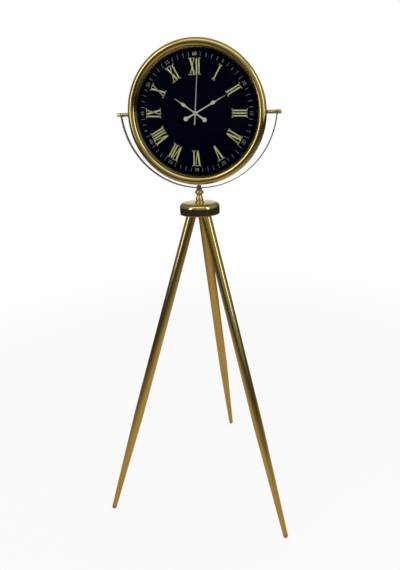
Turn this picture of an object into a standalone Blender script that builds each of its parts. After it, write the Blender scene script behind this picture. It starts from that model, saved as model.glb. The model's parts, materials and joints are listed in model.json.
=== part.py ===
"""A tripod floor clock: a round brass clock head in a forked yoke that swivels on three leaning legs.

Units are metres and +Z is up. The dial faces -Y, the back leg stands towards +Y, and the origin lies
on the floor in the middle of the footprint.
"""

import bpy
import bmesh
from math import asin, atan2, cos, hypot, pi, radians, sin, sqrt, tau

# Fits
CLEARANCE = 0.0003          # gap between two pieces that touch
OVERRUN = 0.002             # how far a cutter runs past the face that it opens
MERGE = 0.00001             # distance within which points of one piece join

# Overall sizes
BEZEL_RADIUS = 0.178        # a bezel of 14 inches round a dial of 12 inches
HUB_RIM_HEIGHT = 0.829      # floor to the lower rim of the hub
FOOT_RADIUS = 0.2786        # hub axis to the middle of each foot
HEAD_CASE_DEPTH = 0.025     # pivot axis to the back of the case
YOKE_GAP = 0.0094           # bezel down to the strip on the swivel axis

# Legs
LEG_RADIUS = 0.0127
LEG_WALL = 0.0012
LEG_TAPER_START_SHARE = 0.66    # of the leg's length, from its top
FOOT_TIP_RADIUS = 0.00635
FOOT_FLAT_RADIUS = 0.0026
FOOT_SPIGOT_LENGTH = 0.014
LEG_TOP_RADIUS = 0.0201     # hub axis to the middle of a leg's top end
LEG_TOP_RISE = 0.003        # that middle above the hub's rim
LEG_PLUG_LENGTH = 0.026
LEG_STUD_RADIUS = 0.004
LEG_STUD_LENGTH = 0.015

# Hub
HUB_RADIUS = 0.0518
HUB_HEIGHT = 0.023
HUB_WALL = 0.0015
HUB_SHOULDER = 0.0105
HUB_CROWN_DROP = 0.0012
HUB_BLOCK_RECESS = 0.0012   # the block's lower face above the rim
TIE_ROD_RADIUS = 0.003
TIE_ROD_TAIL = 0.002        # rod past each of its nuts
TIE_NUT_FLATS = 0.010
TIE_NUT_HEIGHT = 0.005
TIE_WASHER_RADIUS = 0.0062
TIE_WASHER_THICKNESS = 0.0008

# Stem
STEM_HEIGHT = 0.040
STEM_BASE_RADIUS = 0.0085
STEM_BASE_HEIGHT = 0.0042
STEM_VASE_RADIUS = 0.0095
STEM_NECK_RADIUS = 0.0070
STEM_BALL_RADIUS = 0.0117
STEM_BALL_HALF_HEIGHT = 0.0072
STEM_TOP_RADIUS = 0.0078
STEM_TOP_HEIGHT = 0.0028

# Yoke
YOKE_WIDTH = 0.0127
YOKE_THICKNESS = 0.002
YOKE_WASHER_RADIUS = 0.0078
YOKE_WASHER_THICKNESS = 0.0008

# Pivots
PIVOT_SCREW_RADIUS = 0.0025
PIVOT_SCREW_REACH = 0.016
PIVOT_WASHER_THICKNESS = 0.0008
SLEEVE_LENGTH = 0.0253      # case wall to the washer
SLEEVE_RADIUS = 0.0050
SLEEVE_WAIST_RADIUS = 0.0040
SLEEVE_BEADS = 4
SLEEVE_STUB_RADIUS = 0.0035
SLEEVE_STUB_LENGTH = 0.0062
PIVOT_NUT_FLATS = 0.010
PIVOT_NUT_HEIGHT = 0.0035
KNOB_RADIUS = 0.0050
KNOB_LENGTH = 0.0090
KNOB_EDGE = 0.0008

# Case of the head, measured forward from the pivot axis
BEZEL_SKIRT_BACK = 0.0062
BEZEL_SKIRT_WALL = 0.0015
BEZEL_OUTER_ROLL = 0.0051
BEZEL_OUTER_ROLL_CENTRE = 0.0144
BEZEL_INNER_ROLL = 0.0024
BEZEL_INNER_ROLL_CENTRE = 0.0162
BEZEL_FACE_WIDTH = 0.0145
GLASS_LAP = 0.0065          # glass beyond the bezel's inner edge
GLASS_THICKNESS = 0.0025
DIAL_FRONT = 0.0047
DIAL_THICKNESS = 0.001
DIAL_LAP = 0.0045           # dial beyond the bezel's inner edge
REFLECTOR_WIDTH = 0.0092    # bezel's inner edge to the visible edge of the dial
DIAL_TO_GLASS = 0.0068
REFLECTOR_SHEET = 0.0008
CASE_WALL = 0.0012
CASE_CORNER = 0.006
CASE_FLANGE_WIDTH = 0.0342
SEAT_RING_LEDGE = 0.0147
SEAT_RING_SHEET = 0.001
SEAT_RING_RISE = 0.0056
SEAT_NOTCH_WIDTH = 0.016
REAR_COVER_LAP = 0.012      # cover over the flange of the case
REAR_COVER_THICKNESS = 0.001
REAR_WINDOW_MARGIN = 0.004  # window round the movement
REAR_WINDOW_CORNER = 0.006
REAR_SCREW_RADIUS = 0.0014
REAR_SCREW_LENGTH = 0.006
REAR_SCREW_HEAD_RADIUS = 0.00275
REAR_SCREW_HEAD_HEIGHT = 0.0018
REAR_SCREW_COUNT = 4

# Quartz movement, upright behind the dial
MOVEMENT_SIZE = 0.056
MOVEMENT_DEPTH = 0.017
MOVEMENT_WALL = 0.0012
BUSHING_RADIUS = 0.004
BUSHING_REACH = 0.0038      # front of the housing to the tip of the bushing
DIAL_NUT_FLATS = 0.012
DIAL_NUT_HEIGHT = 0.002
WHEEL_THICKNESS = 0.0009
MIDDLE_PLATE_THICKNESS = 0.0008
COVER_THICKNESS = 0.001
POST_RADIUS = 0.0012
ARBOR_RADIUS = 0.0005

# Hand pipes, from the middle outwards, and how far each stands before the housing's front
SECOND_ARBOR_RADIUS = 0.0006
MINUTE_PIPE_BORE = 0.0009
MINUTE_PIPE_RADIUS = 0.0017
HOUR_PIPE_BORE = 0.0020
HOUR_PIPE_RADIUS = 0.0026
HOUR_PIPE_REACH = 0.0047
MINUTE_PIPE_REACH = 0.0058
SECOND_ARBOR_REACH = 0.0070

# Motion work: minute pipe to motion wheel to hour wheel
MOTION_PITCH_MODULE = 0.0005
HOUR_PITCH_MODULE = 0.00048
MINUTE_PINION_TEETH = 12
MOTION_WHEEL_TEETH = 36
MOTION_PINION_TEETH = 10
HOUR_WHEEL_TEETH = 40
SETTING_TEETH = 12
SETTING_DIRECTION = radians(140)
SETTING_SHAFT_RADIUS = 0.001
SETTING_KNOB_RADIUS = 0.006
SETTING_KNOB_LENGTH = 0.005

# Going train: rotor to step wheel to second wheel to third wheel to centre wheel
ROTOR_TEETH = 6
STEP_WHEEL_TEETH = 36
STEP_PINION_TEETH = 8
SECOND_WHEEL_TEETH = 40
SECOND_PINION_TEETH = 8
THIRD_WHEEL_TEETH = 60
THIRD_PINION_TEETH = 8
CENTRE_WHEEL_TEETH = 64
CENTRE_PITCH_MODULE = 0.0003
SECOND_PITCH_MODULE = 0.00046
STEP_PITCH_MODULE = 0.0004
THIRD_DIRECTION = radians(150)
STEP_DIRECTION = radians(30)
ROTOR_DIRECTION = radians(60)
ADDENDUM_SHARE = 0.8        # of the module
DEDENDUM_SHARE = 1.2

# Step motor, its board and the cell
ROTOR_MAGNET_RADIUS = 0.003
ROTOR_MAGNET_LENGTH = 0.0026
ROTOR_GAP = 0.0005
STATOR_THICKNESS = 0.001
STATOR_DROP = 0.0014        # end of the step wheel's layer to the stator
STATOR_MARGIN = 0.0034      # metal beside the rotor's hole
STATOR_ARM = 0.002
STATOR_LENGTH = 0.0275
COIL_RADIUS = 0.0032
COIL_BORE = 0.0015
COIL_FLANGE = 0.0007
COIL_WINDING_SHARE = 0.84   # of the flange's radius
BOARD_WIDTH = 0.013
BOARD_HEIGHT = 0.0245
BOARD_THICKNESS = 0.0008
CELL_RADIUS = 0.00725
CELL_LENGTH = 0.0505
CELL_NUB_RADIUS = 0.0027
CELL_NUB_LENGTH = 0.0012
CELL_EDGE = 0.0008
CONTACT_THICKNESS = 0.0004
CONTACT_SIZE = 0.010
BAY_WALL = 0.0008
BAY_EDGE = 0.0004           # room above and below the cell

# Hands
HAND_THICKNESS = 0.0005
HOUR_HAND_LENGTH = 0.064
HOUR_BULB_PLACE = 0.0365
HOUR_BULB_HALF_WIDTH = 0.0050
MINUTE_HAND_LENGTH = 0.0885
MINUTE_BULB_PLACE = 0.0525
MINUTE_BULB_HALF_WIDTH = 0.0050
HAND_BULB_HALF_LENGTH = 0.0085
HAND_NECK_HALF_WIDTH = 0.0017
HAND_NEEDLE_HALF_WIDTH = 0.0011
HAND_BOSS_RADIUS = 0.0050
HAND_TAIL = 0.028
HAND_TAIL_DISC_RADIUS = 0.0060
SECOND_HAND_LENGTH = 0.115
SECOND_HAND_TAIL = 0.0285
SECOND_HALF_WIDTH = 0.0011
SECOND_TAIL_HALF_WIDTH = 0.0016
SECOND_BOSS_RADIUS = 0.0034
HOUR_HAND_ANGLE = radians(-55)
MINUTE_HAND_ANGLE = radians(62)
SECOND_HAND_ANGLE = radians(2)

# Facets
RIM_STEPS = 56
YOKE_STEPS = 36
HUB_STEPS = 32
STEM_STEPS = 24
TUBE_STEPS = 16
SMALL_STEPS = 12
PIN_STEPS = 8
ARC_STEPS = 5

# Places worked out from the sizes
HUB_Y = -FOOT_RADIUS / 4
FOOT_BALL_HEIGHT = sqrt(FOOT_TIP_RADIUS ** 2 - FOOT_FLAT_RADIUS ** 2)
LEG_TOP_HEIGHT = HUB_RIM_HEIGHT + LEG_TOP_RISE
LEG_RUN = FOOT_RADIUS - LEG_TOP_RADIUS
LEG_DROP = LEG_TOP_HEIGHT - FOOT_BALL_HEIGHT
LEG_LENGTH = hypot(LEG_RUN, LEG_DROP)
LEG_LEAN = atan2(LEG_RUN, LEG_DROP)
HUB_TOP = HUB_RIM_HEIGHT + HUB_HEIGHT
STEM_BASE = HUB_TOP + CLEARANCE
YOKE_WASHER_BASE = STEM_BASE + STEM_HEIGHT + CLEARANCE
YOKE_BASE = YOKE_WASHER_BASE + YOKE_WASHER_THICKNESS + CLEARANCE
YOKE_NUT_BASE = YOKE_BASE + YOKE_THICKNESS + CLEARANCE
YOKE_DROP = BEZEL_RADIUS + YOKE_GAP + YOKE_THICKNESS / 2
PIVOT_HEIGHT = YOKE_BASE + YOKE_THICKNESS / 2 + YOKE_DROP
ROD_HOLE_RADIUS = TIE_ROD_RADIUS + CLEARANCE

CASE_RADIUS = BEZEL_RADIUS - BEZEL_SKIRT_WALL - CLEARANCE
CASE_BORE = CASE_RADIUS - CASE_WALL
CASE_FLANGE_RADIUS = CASE_RADIUS - CASE_FLANGE_WIDTH
SLEEVE_START = CASE_RADIUS + CLEARANCE
SLEEVE_END = SLEEVE_START + SLEEVE_LENGTH
YOKE_HALF_SPAN = SLEEVE_END + PIVOT_WASHER_THICKNESS + 2 * CLEARANCE + YOKE_THICKNESS / 2
BEZEL_INNER_RADIUS = BEZEL_RADIUS - BEZEL_FACE_WIDTH
GLASS_RADIUS = BEZEL_INNER_RADIUS + GLASS_LAP
DIAL_RADIUS = BEZEL_INNER_RADIUS + DIAL_LAP
DIAL_SEEN_RADIUS = BEZEL_INNER_RADIUS - REFLECTOR_WIDTH
REAR_COVER_RADIUS = CASE_FLANGE_RADIUS + REAR_COVER_LAP
REAR_SCREW_CIRCLE = CASE_FLANGE_RADIUS + REAR_COVER_LAP / 2
REAR_WINDOW = MOVEMENT_SIZE + 2 * REAR_WINDOW_MARGIN
GLASS_BACK = DIAL_FRONT + DIAL_TO_GLASS
GLASS_FRONT = GLASS_BACK + GLASS_THICKNESS
DIAL_BACK = DIAL_FRONT - DIAL_THICKNESS
HOUSING_FRONT = DIAL_BACK - CLEARANCE
HOUSING_FLOOR = HOUSING_FRONT - MOVEMENT_WALL
HOUSING_BACK = HOUSING_FRONT - MOVEMENT_DEPTH
HOUR_LAYER = HOUSING_FLOOR - CLEARANCE
MOTION_LAYER = HOUR_LAYER - WHEEL_THICKNESS - CLEARANCE
PLATE_LAYER = MOTION_LAYER - WHEEL_THICKNESS - CLEARANCE
CENTRE_LAYER = PLATE_LAYER - MIDDLE_PLATE_THICKNESS - CLEARANCE
THIRD_LAYER = CENTRE_LAYER - WHEEL_THICKNESS - CLEARANCE
SECOND_LAYER = THIRD_LAYER - WHEEL_THICKNESS - CLEARANCE
STEP_LAYER = SECOND_LAYER - WHEEL_THICKNESS - CLEARANCE
STEP_LAYER_BACK = STEP_LAYER - WHEEL_THICKNESS
COVER_FLOOR = HOUSING_BACK + COVER_THICKNESS
MOTION_DISTANCE = (MINUTE_PINION_TEETH + MOTION_WHEEL_TEETH) * MOTION_PITCH_MODULE / 2
CENTRE_DISTANCE = (CENTRE_WHEEL_TEETH + THIRD_PINION_TEETH) * CENTRE_PITCH_MODULE / 2
THIRD_PITCH_MODULE = 2 * CENTRE_DISTANCE / (THIRD_WHEEL_TEETH + SECOND_PINION_TEETH)
SECOND_DISTANCE = (SECOND_WHEEL_TEETH + STEP_PINION_TEETH) * SECOND_PITCH_MODULE / 2
STEP_DISTANCE = (STEP_WHEEL_TEETH + ROTOR_TEETH) * STEP_PITCH_MODULE / 2
SETTING_DISTANCE = (SETTING_TEETH + MOTION_WHEEL_TEETH) * MOTION_PITCH_MODULE / 2


def polar(radius, angle, centre=(0.0, 0.0)):
    """The point at that radius and angle round a centre."""
    return (centre[0] + radius * cos(angle), centre[1] + radius * sin(angle))


MOTION_PLACE = polar(MOTION_DISTANCE, pi / 2)
SETTING_PLACE = polar(SETTING_DISTANCE, SETTING_DIRECTION, MOTION_PLACE)
THIRD_PLACE = polar(CENTRE_DISTANCE, THIRD_DIRECTION)
STEP_PLACE = polar(SECOND_DISTANCE, STEP_DIRECTION)
ROTOR_PLACE = polar(STEP_DISTANCE, ROTOR_DIRECTION, STEP_PLACE)


def clear_scene():
    """Removes whatever objects the scene starts with."""
    for obj in list(bpy.data.objects):
        bpy.data.objects.remove(obj, do_unlink=True)


def new_collection(name):
    """A collection of that name in the scene."""
    collection = bpy.data.collections.new(name)
    bpy.context.scene.collection.children.link(collection)
    return collection


clear_scene()
PARTS = new_collection("tripod_floor_clock")
CUTTERS = new_collection("cutters")


def principled(name, colour, metallic, roughness):
    """A plain material of one colour."""
    material = bpy.data.materials.new(name)
    material.use_nodes = True
    shader = material.node_tree.nodes["Principled BSDF"]
    shader.inputs["Base Color"].default_value = (*colour, 1.0)
    shader.inputs["Metallic"].default_value = metallic
    shader.inputs["Roughness"].default_value = roughness
    return material


BRASS = principled("polished_brass", (0.58, 0.42, 0.17), 1.0, 0.22)
DARK_BRASS = principled("aged_brass", (0.34, 0.25, 0.10), 1.0, 0.32)
PALE_BRASS = principled("hand_brass", (0.72, 0.66, 0.48), 1.0, 0.35)
STEEL = principled("zinc_plated_steel", (0.62, 0.62, 0.60), 1.0, 0.35)
DIAL_BLACK = principled("dial_black", (0.006, 0.008, 0.020), 0.0, 0.25)
CLEAR_GLASS = principled("clear_glass", (0.95, 0.97, 0.96), 0.0, 0.02)
WHITE_PLASTIC = principled("white_plastic", (0.80, 0.80, 0.77), 0.0, 0.45)
BLACK_PLASTIC = principled("black_plastic", (0.03, 0.03, 0.03), 0.0, 0.5)
COPPER = principled("enamelled_copper", (0.60, 0.27, 0.12), 1.0, 0.4)
BOARD_GREEN = principled("circuit_board", (0.05, 0.20, 0.09), 0.0, 0.5)
FIBRE = principled("fibre_washer", (0.25, 0.13, 0.07), 0.0, 0.8)


def place_object(obj, parent, location, rotation):
    """Sets an object's parent and its place in the parent's frame."""
    obj.parent = parent
    obj.location = location
    obj.rotation_euler = rotation


def empty(name, location=(0, 0, 0), rotation=(0, 0, 0), parent=None):
    """A frame that pieces are parented to."""
    obj = bpy.data.objects.new(name, None)
    PARTS.objects.link(obj)
    place_object(obj, parent, location, rotation)
    return obj


def new_object(name, mesh, material, parent=None, location=(0, 0, 0), rotation=(0, 0, 0)):
    """One piece, or one cutter where no material is given."""
    obj = bpy.data.objects.new(name, mesh)
    if material is None:
        CUTTERS.objects.link(obj)
        obj.hide_render = True
        obj.display_type = "WIRE"
    else:
        PARTS.objects.link(obj)
        mesh.materials.append(material)
    place_object(obj, parent, location, rotation)
    return obj


def arc(centre, radius, start, end, steps=ARC_STEPS):
    """Points along an arc, angles in degrees."""
    return [polar(radius, radians(start + (end - start) * i / steps), centre) for i in range(steps + 1)]


def turned(name, profile, steps, material, closed=False, **place):
    """A profile of (radius, height) points, listed down its outer side, turned about its local Z axis."""
    mesh = bpy.data.meshes.new(name)
    points = [(radius, 0.0, height) for radius, height in profile]
    edges = [(i, i + 1) for i in range(len(points) - 1)]
    if closed:
        edges.append((len(points) - 1, 0))
    mesh.from_pydata(points, edges, [])
    obj = new_object(name, mesh, material, **place)
    screw = obj.modifiers.new("turn", "SCREW")
    screw.steps = steps
    screw.render_steps = steps
    screw.use_merge_vertices = True
    screw.merge_threshold = MERGE
    screw.use_smooth_shade = True
    return obj


def rod(name, radius, top, bottom, steps, material, **place):
    """A plain round rod between two heights on its local Z axis."""
    profile = [(0.0, top), (radius, top), (radius, bottom), (0.0, bottom)]
    return turned(name, profile, steps, material, **place)


def tube(name, radius, bore, top, bottom, steps, material, **place):
    """A plain round tube between two heights on its local Z axis."""
    profile = [(radius, top), (radius, bottom), (bore, bottom), (bore, top)]
    return turned(name, profile, steps, material, closed=True, **place)


def circle(radius, steps, centre=(0.0, 0.0), start=0.0):
    """The outline of a circle, or of a regular shape where there are few steps."""
    return [polar(radius, start + tau * i / steps, centre) for i in range(steps)]


def rectangle(width, height, centre=(0.0, 0.0)):
    """The outline of a rectangle."""
    x, y = centre
    return [(x - width / 2, y - height / 2), (x + width / 2, y - height / 2),
            (x + width / 2, y + height / 2), (x - width / 2, y + height / 2)]


def flat_piece(name, outlines, top, thickness, material, **place):
    """A flat plate whose first outline is its edge and whose others are holes, below local height top."""
    curve = bpy.data.curves.new(name, "CURVE")
    curve.dimensions = "2D"
    curve.fill_mode = "BOTH"
    curve.extrude = thickness / 2
    curve.resolution_u = 1
    curve.render_resolution_u = 0
    for outline in outlines:
        spline = curve.splines.new("POLY")
        spline.points.add(len(outline) - 1)
        for point, (x, y) in zip(spline.points, outline):
            point.co = (x, y, 0.0, 1.0)
        spline.use_cyclic_u = True
    drawn = bpy.data.objects.new(name + "_outline", curve)
    CUTTERS.objects.link(drawn)
    drawn.location.z = top - thickness / 2
    bpy.context.view_layer.update()
    graph = bpy.context.evaluated_depsgraph_get()
    mesh = bpy.data.meshes.new_from_object(drawn.evaluated_get(graph))
    mesh.transform(drawn.matrix_world)
    bpy.data.objects.remove(drawn, do_unlink=True)
    weld(mesh)
    return new_object(name, mesh, material, **place)


def weld(mesh):
    """Joins the points of a mesh that coincide."""
    work = bmesh.new()
    work.from_mesh(mesh)
    bmesh.ops.remove_doubles(work, verts=work.verts, dist=MERGE)
    bmesh.ops.recalc_face_normals(work, faces=work.faces)
    work.to_mesh(mesh)
    work.free()


def block(name, size, centre, material, **place):
    """A box of that size round a centre in its parent's frame."""
    work = bmesh.new()
    bmesh.ops.create_cube(work, size=1.0)
    bmesh.ops.scale(work, vec=size, verts=work.verts)
    bmesh.ops.translate(work, vec=centre, verts=work.verts)
    mesh = bpy.data.meshes.new(name)
    work.to_mesh(mesh)
    work.free()
    return new_object(name, mesh, material, **place)


def combine(obj, other, operation):
    """Joins or cuts one piece with another by a Boolean modifier."""
    step = obj.modifiers.new(other.name, "BOOLEAN")
    step.operation = operation
    step.solver = "EXACT"
    step.object = other


def cut(obj, *cutters):
    """Takes each cutter's shape out of a piece."""
    for cutter in cutters:
        combine(obj, cutter, "DIFFERENCE")


def join(obj, *others):
    """Fuses other shapes into a piece."""
    for other in others:
        combine(obj, other, "UNION")


def shade_smooth(angle=radians(35)):
    """Smooth shading with sharp corners on every piece that keeps its own mesh."""
    for obj in PARTS.objects:
        if obj.type == "MESH" and obj.data.polygons:
            obj.data.shade_smooth()
            obj.data.set_sharp_from_angle(angle=angle)


def hexagon(flats):
    """The outline of a hexagon of that width across its flats."""
    return circle(flats / sqrt(3), 6)


def hex_nut(name, flats, bore, top, height, material, **place):
    """A hexagon nut with a round bore."""
    return flat_piece(name, [hexagon(flats), circle(bore, SMALL_STEPS)], top, height, material, **place)


# Frames that the pieces are placed in
FACING_FRONT = (pi / 2, 0.0, 0.0)       # local X to the right, Y up and Z towards the viewer
TO_THE_RIGHT = (0.0, pi / 2, 0.0)       # local Z turned to point right in such a frame
TO_THE_LEFT = (0.0, -pi / 2, 0.0)
SIDES = (("left", -1, TO_THE_LEFT), ("right", 1, TO_THE_RIGHT))
LEGS = (("back", radians(90)), ("left", radians(210)), ("right", radians(330)))

hub_frame = empty("hub_frame", location=(0.0, HUB_Y, 0.0))
yoke_frame = empty("yoke_frame", location=(0.0, HUB_Y, PIVOT_HEIGHT), rotation=FACING_FRONT)
head_frame = empty("head_frame", location=(0.0, HUB_Y, PIVOT_HEIGHT), rotation=FACING_FRONT)


def leg_pieces(side, direction, floor_cutter):
    """One leg: a tapered tube, a threaded plug in its top end and a rounded tip on the floor."""
    top = (LEG_TOP_RADIUS * cos(direction), LEG_TOP_RADIUS * sin(direction), LEG_TOP_HEIGHT)
    frame = empty("leg_frame_" + side, top, (0.0, -LEG_LEAN, direction), hub_frame)
    taper = -LEG_LENGTH * LEG_TAPER_START_SHARE
    seat = -LEG_LENGTH + FOOT_TIP_RADIUS / 2
    tip_bore = FOOT_TIP_RADIUS - LEG_WALL
    profile = [(LEG_RADIUS, 0.0), (LEG_RADIUS, taper), (FOOT_TIP_RADIUS, seat),
               (tip_bore, seat), (LEG_RADIUS - LEG_WALL, taper), (LEG_RADIUS - LEG_WALL, 0.0)]
    turned("leg_tube_" + side, profile, TUBE_STEPS, BRASS, closed=True, parent=frame)
    plug_radius = LEG_RADIUS - LEG_WALL - CLEARANCE
    profile = [(0.0, LEG_STUD_LENGTH), (LEG_STUD_RADIUS, LEG_STUD_LENGTH), (LEG_STUD_RADIUS, 0.0),
               (plug_radius, 0.0), (plug_radius, -LEG_PLUG_LENGTH), (0.0, -LEG_PLUG_LENGTH)]
    turned("leg_plug_" + side, profile, SMALL_STEPS, STEEL, parent=frame)
    spigot = tip_bore - CLEARANCE
    dome = arc((0.0, -LEG_LENGTH), FOOT_TIP_RADIUS, 0, -90, ARC_STEPS)
    profile = [(0.0, seat + FOOT_SPIGOT_LENGTH), (spigot, seat + FOOT_SPIGOT_LENGTH),
               (spigot, seat - CLEARANCE), (FOOT_TIP_RADIUS, seat - CLEARANCE)] + dome
    foot = turned("foot_tip_" + side, profile, TUBE_STEPS, DARK_BRASS, parent=frame)
    cut(foot, floor_cutter)
    return frame


def hub_pieces(leg_frames):
    """The spun cap, the cast block that the legs screw into, and the rod that ties the stand together."""
    shoulder = arc((HUB_RADIUS - HUB_SHOULDER, HUB_TOP - HUB_CROWN_DROP - HUB_SHOULDER), HUB_SHOULDER, 90, 0)
    inside = arc((HUB_RADIUS - HUB_SHOULDER, HUB_TOP - HUB_CROWN_DROP - HUB_SHOULDER),
                 HUB_SHOULDER - HUB_WALL, 0, 90, 3)
    seat_radius = STEM_BASE_RADIUS + 2 * HUB_WALL
    profile = ([(ROD_HOLE_RADIUS, HUB_TOP), (seat_radius, HUB_TOP)] + shoulder
               + [(HUB_RADIUS, HUB_RIM_HEIGHT), (HUB_RADIUS - HUB_WALL, HUB_RIM_HEIGHT)] + inside
               + [(seat_radius, HUB_TOP - HUB_WALL), (ROD_HOLE_RADIUS, HUB_TOP - HUB_WALL)])
    turned("hub_cap", profile, HUB_STEPS, BRASS, closed=True, parent=hub_frame)

    block_top = HUB_TOP - HUB_WALL - HUB_CROWN_DROP - CLEARANCE
    block_base = HUB_RIM_HEIGHT + HUB_BLOCK_RECESS
    block_radius = HUB_RADIUS - HUB_SHOULDER - CLEARANCE
    boss_top = HUB_TOP - HUB_WALL - CLEARANCE
    boss = [(ROD_HOLE_RADIUS, boss_top), (STEM_BASE_RADIUS, boss_top),
            (seat_radius, block_top), (block_radius, block_top), (block_radius, block_base),
            (ROD_HOLE_RADIUS, block_base)]
    hub_block = turned("hub_block", boss, HUB_STEPS, STEEL, closed=True, parent=hub_frame)
    for side, frame in leg_frames.items():
        pocket = [(0.0, LEG_STUD_LENGTH + OVERRUN), (LEG_STUD_RADIUS + CLEARANCE, LEG_STUD_LENGTH + OVERRUN),
                  (LEG_STUD_RADIUS + CLEARANCE, CLEARANCE), (LEG_RADIUS + CLEARANCE, CLEARANCE),
                  (LEG_RADIUS + CLEARANCE, -LEG_RADIUS), (0.0, -LEG_RADIUS)]
        cut(hub_block, turned("leg_socket_" + side, pocket, TUBE_STEPS, None, parent=frame))

    washer_top = block_base - CLEARANCE
    nut_top = washer_top - TIE_WASHER_THICKNESS - CLEARANCE
    tube("hub_washer", TIE_WASHER_RADIUS, ROD_HOLE_RADIUS, washer_top, washer_top - TIE_WASHER_THICKNESS,
         SMALL_STEPS, STEEL, parent=hub_frame)
    hex_nut("hub_nut", TIE_NUT_FLATS, ROD_HOLE_RADIUS, nut_top, TIE_NUT_HEIGHT, STEEL, parent=hub_frame)
    hex_nut("yoke_nut", TIE_NUT_FLATS, ROD_HOLE_RADIUS, YOKE_NUT_BASE + TIE_NUT_HEIGHT, TIE_NUT_HEIGHT,
            BRASS, parent=hub_frame)
    rod("tie_rod", TIE_ROD_RADIUS, YOKE_NUT_BASE + TIE_NUT_HEIGHT + TIE_ROD_TAIL / 2,
        nut_top - TIE_NUT_HEIGHT - TIE_ROD_TAIL, SMALL_STEPS, STEEL, parent=hub_frame)


def stem_piece():
    """The turned baluster between the hub and the yoke: base collar, vase, neck, ball and top collar."""
    top = STEM_BASE + STEM_HEIGHT
    ball_centre = top - STEM_TOP_HEIGHT - STEM_BALL_HALF_HEIGHT
    vase_centre = STEM_BASE + STEM_BASE_HEIGHT + STEM_VASE_RADIUS / 2
    neck_height = (ball_centre - STEM_BALL_HALF_HEIGHT + vase_centre) / 2
    flat_share = STEM_BALL_HALF_HEIGHT / STEM_BALL_RADIUS
    ball = [(radius, ball_centre + height * flat_share)
            for radius, height in arc((0.0, 0.0), STEM_BALL_RADIUS, 52, -52, 2 * ARC_STEPS)]
    collar = [(ROD_HOLE_RADIUS, top), (STEM_TOP_RADIUS, top), (STEM_TOP_RADIUS, top - STEM_TOP_HEIGHT)]
    profile = (collar + ball
               + [(STEM_NECK_RADIUS, neck_height + STEM_BASE_HEIGHT / 3),
                  (STEM_NECK_RADIUS, neck_height - STEM_BASE_HEIGHT / 3),
                  (STEM_VASE_RADIUS, vase_centre + STEM_BASE_HEIGHT / 3),
                  (STEM_VASE_RADIUS, vase_centre - STEM_BASE_HEIGHT / 3),
                  (STEM_BASE_RADIUS - HUB_WALL / 2, STEM_BASE + STEM_BASE_HEIGHT),
                  (STEM_BASE_RADIUS, STEM_BASE + STEM_BASE_HEIGHT - HUB_WALL / 2),
                  (STEM_BASE_RADIUS, STEM_BASE), (ROD_HOLE_RADIUS, STEM_BASE)])
    turned("stem", profile, STEM_STEPS, BRASS, closed=True, parent=hub_frame)


def yoke_pieces():
    """The strip of metal bent round under the head, with a round eye at each end, and its washers."""
    rise = (YOKE_HALF_SPAN ** 2 - YOKE_DROP ** 2) / (2 * YOKE_DROP)
    bend = YOKE_DROP + rise
    eye = YOKE_WIDTH / 2
    start = asin((rise + YOKE_WIDTH) / bend)
    angles = [pi + start + (pi - 2 * start) * i / YOKE_STEPS for i in range(YOKE_STEPS + 1)]
    sides = []
    for offset in (YOKE_THICKNESS / 2, -YOKE_THICKNESS / 2):
        end = YOKE_HALF_SPAN + offset
        bow = [polar(bend + offset, angle, (0.0, rise)) for angle in angles]
        sides.append([(-end, eye), (-end, -eye)] + bow + [(end, -eye), (end, eye)])
    outline = sides[0] + sides[1][::-1]
    strip = flat_piece("yoke_strip", [outline], YOKE_WIDTH / 2, YOKE_WIDTH, BRASS, parent=yoke_frame)
    low = (0.0, -YOKE_DROP, 0.0)
    cut(strip, rod("swivel_hole", ROD_HOLE_RADIUS, YOKE_THICKNESS, -YOKE_THICKNESS, SMALL_STEPS, None,
                   parent=yoke_frame, location=low, rotation=(-pi / 2, 0.0, 0.0)))
    reach = YOKE_HALF_SPAN + YOKE_THICKNESS
    cut(strip, rod("pivot_holes", PIVOT_SCREW_RADIUS + CLEARANCE, reach, -reach, SMALL_STEPS, None,
                   parent=yoke_frame, rotation=TO_THE_RIGHT))
    for side, sign, _ in SIDES:
        cut(strip, flat_piece("eye_end_" + side, [rounded_end(eye)], sign * YOKE_HALF_SPAN + YOKE_THICKNESS,
                              2 * YOKE_THICKNESS, None, parent=yoke_frame, rotation=TO_THE_RIGHT))
    face = YOKE_HALF_SPAN - YOKE_THICKNESS / 2 - CLEARANCE
    for side, _, turn in SIDES:
        tube("pivot_washer_" + side, SLEEVE_RADIUS, PIVOT_SCREW_RADIUS + CLEARANCE, face,
             face - PIVOT_WASHER_THICKNESS, SMALL_STEPS, FIBRE, parent=head_frame, rotation=turn)
    tube("yoke_washer", YOKE_WASHER_RADIUS, ROD_HOLE_RADIUS, YOKE_WASHER_BASE + YOKE_WASHER_THICKNESS,
         YOKE_WASHER_BASE, SMALL_STEPS, FIBRE, parent=hub_frame)


def rounded_end(eye):
    """What is left of a square over a round end: in a frame turned right, local X points down."""
    edge = eye + OVERRUN
    bow = [polar(eye, radians(angle)) for angle in range(90, 271, 15)]
    return bow + [(0.0, -edge), (-edge, -edge), (-edge, edge), (0.0, edge)]


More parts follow.
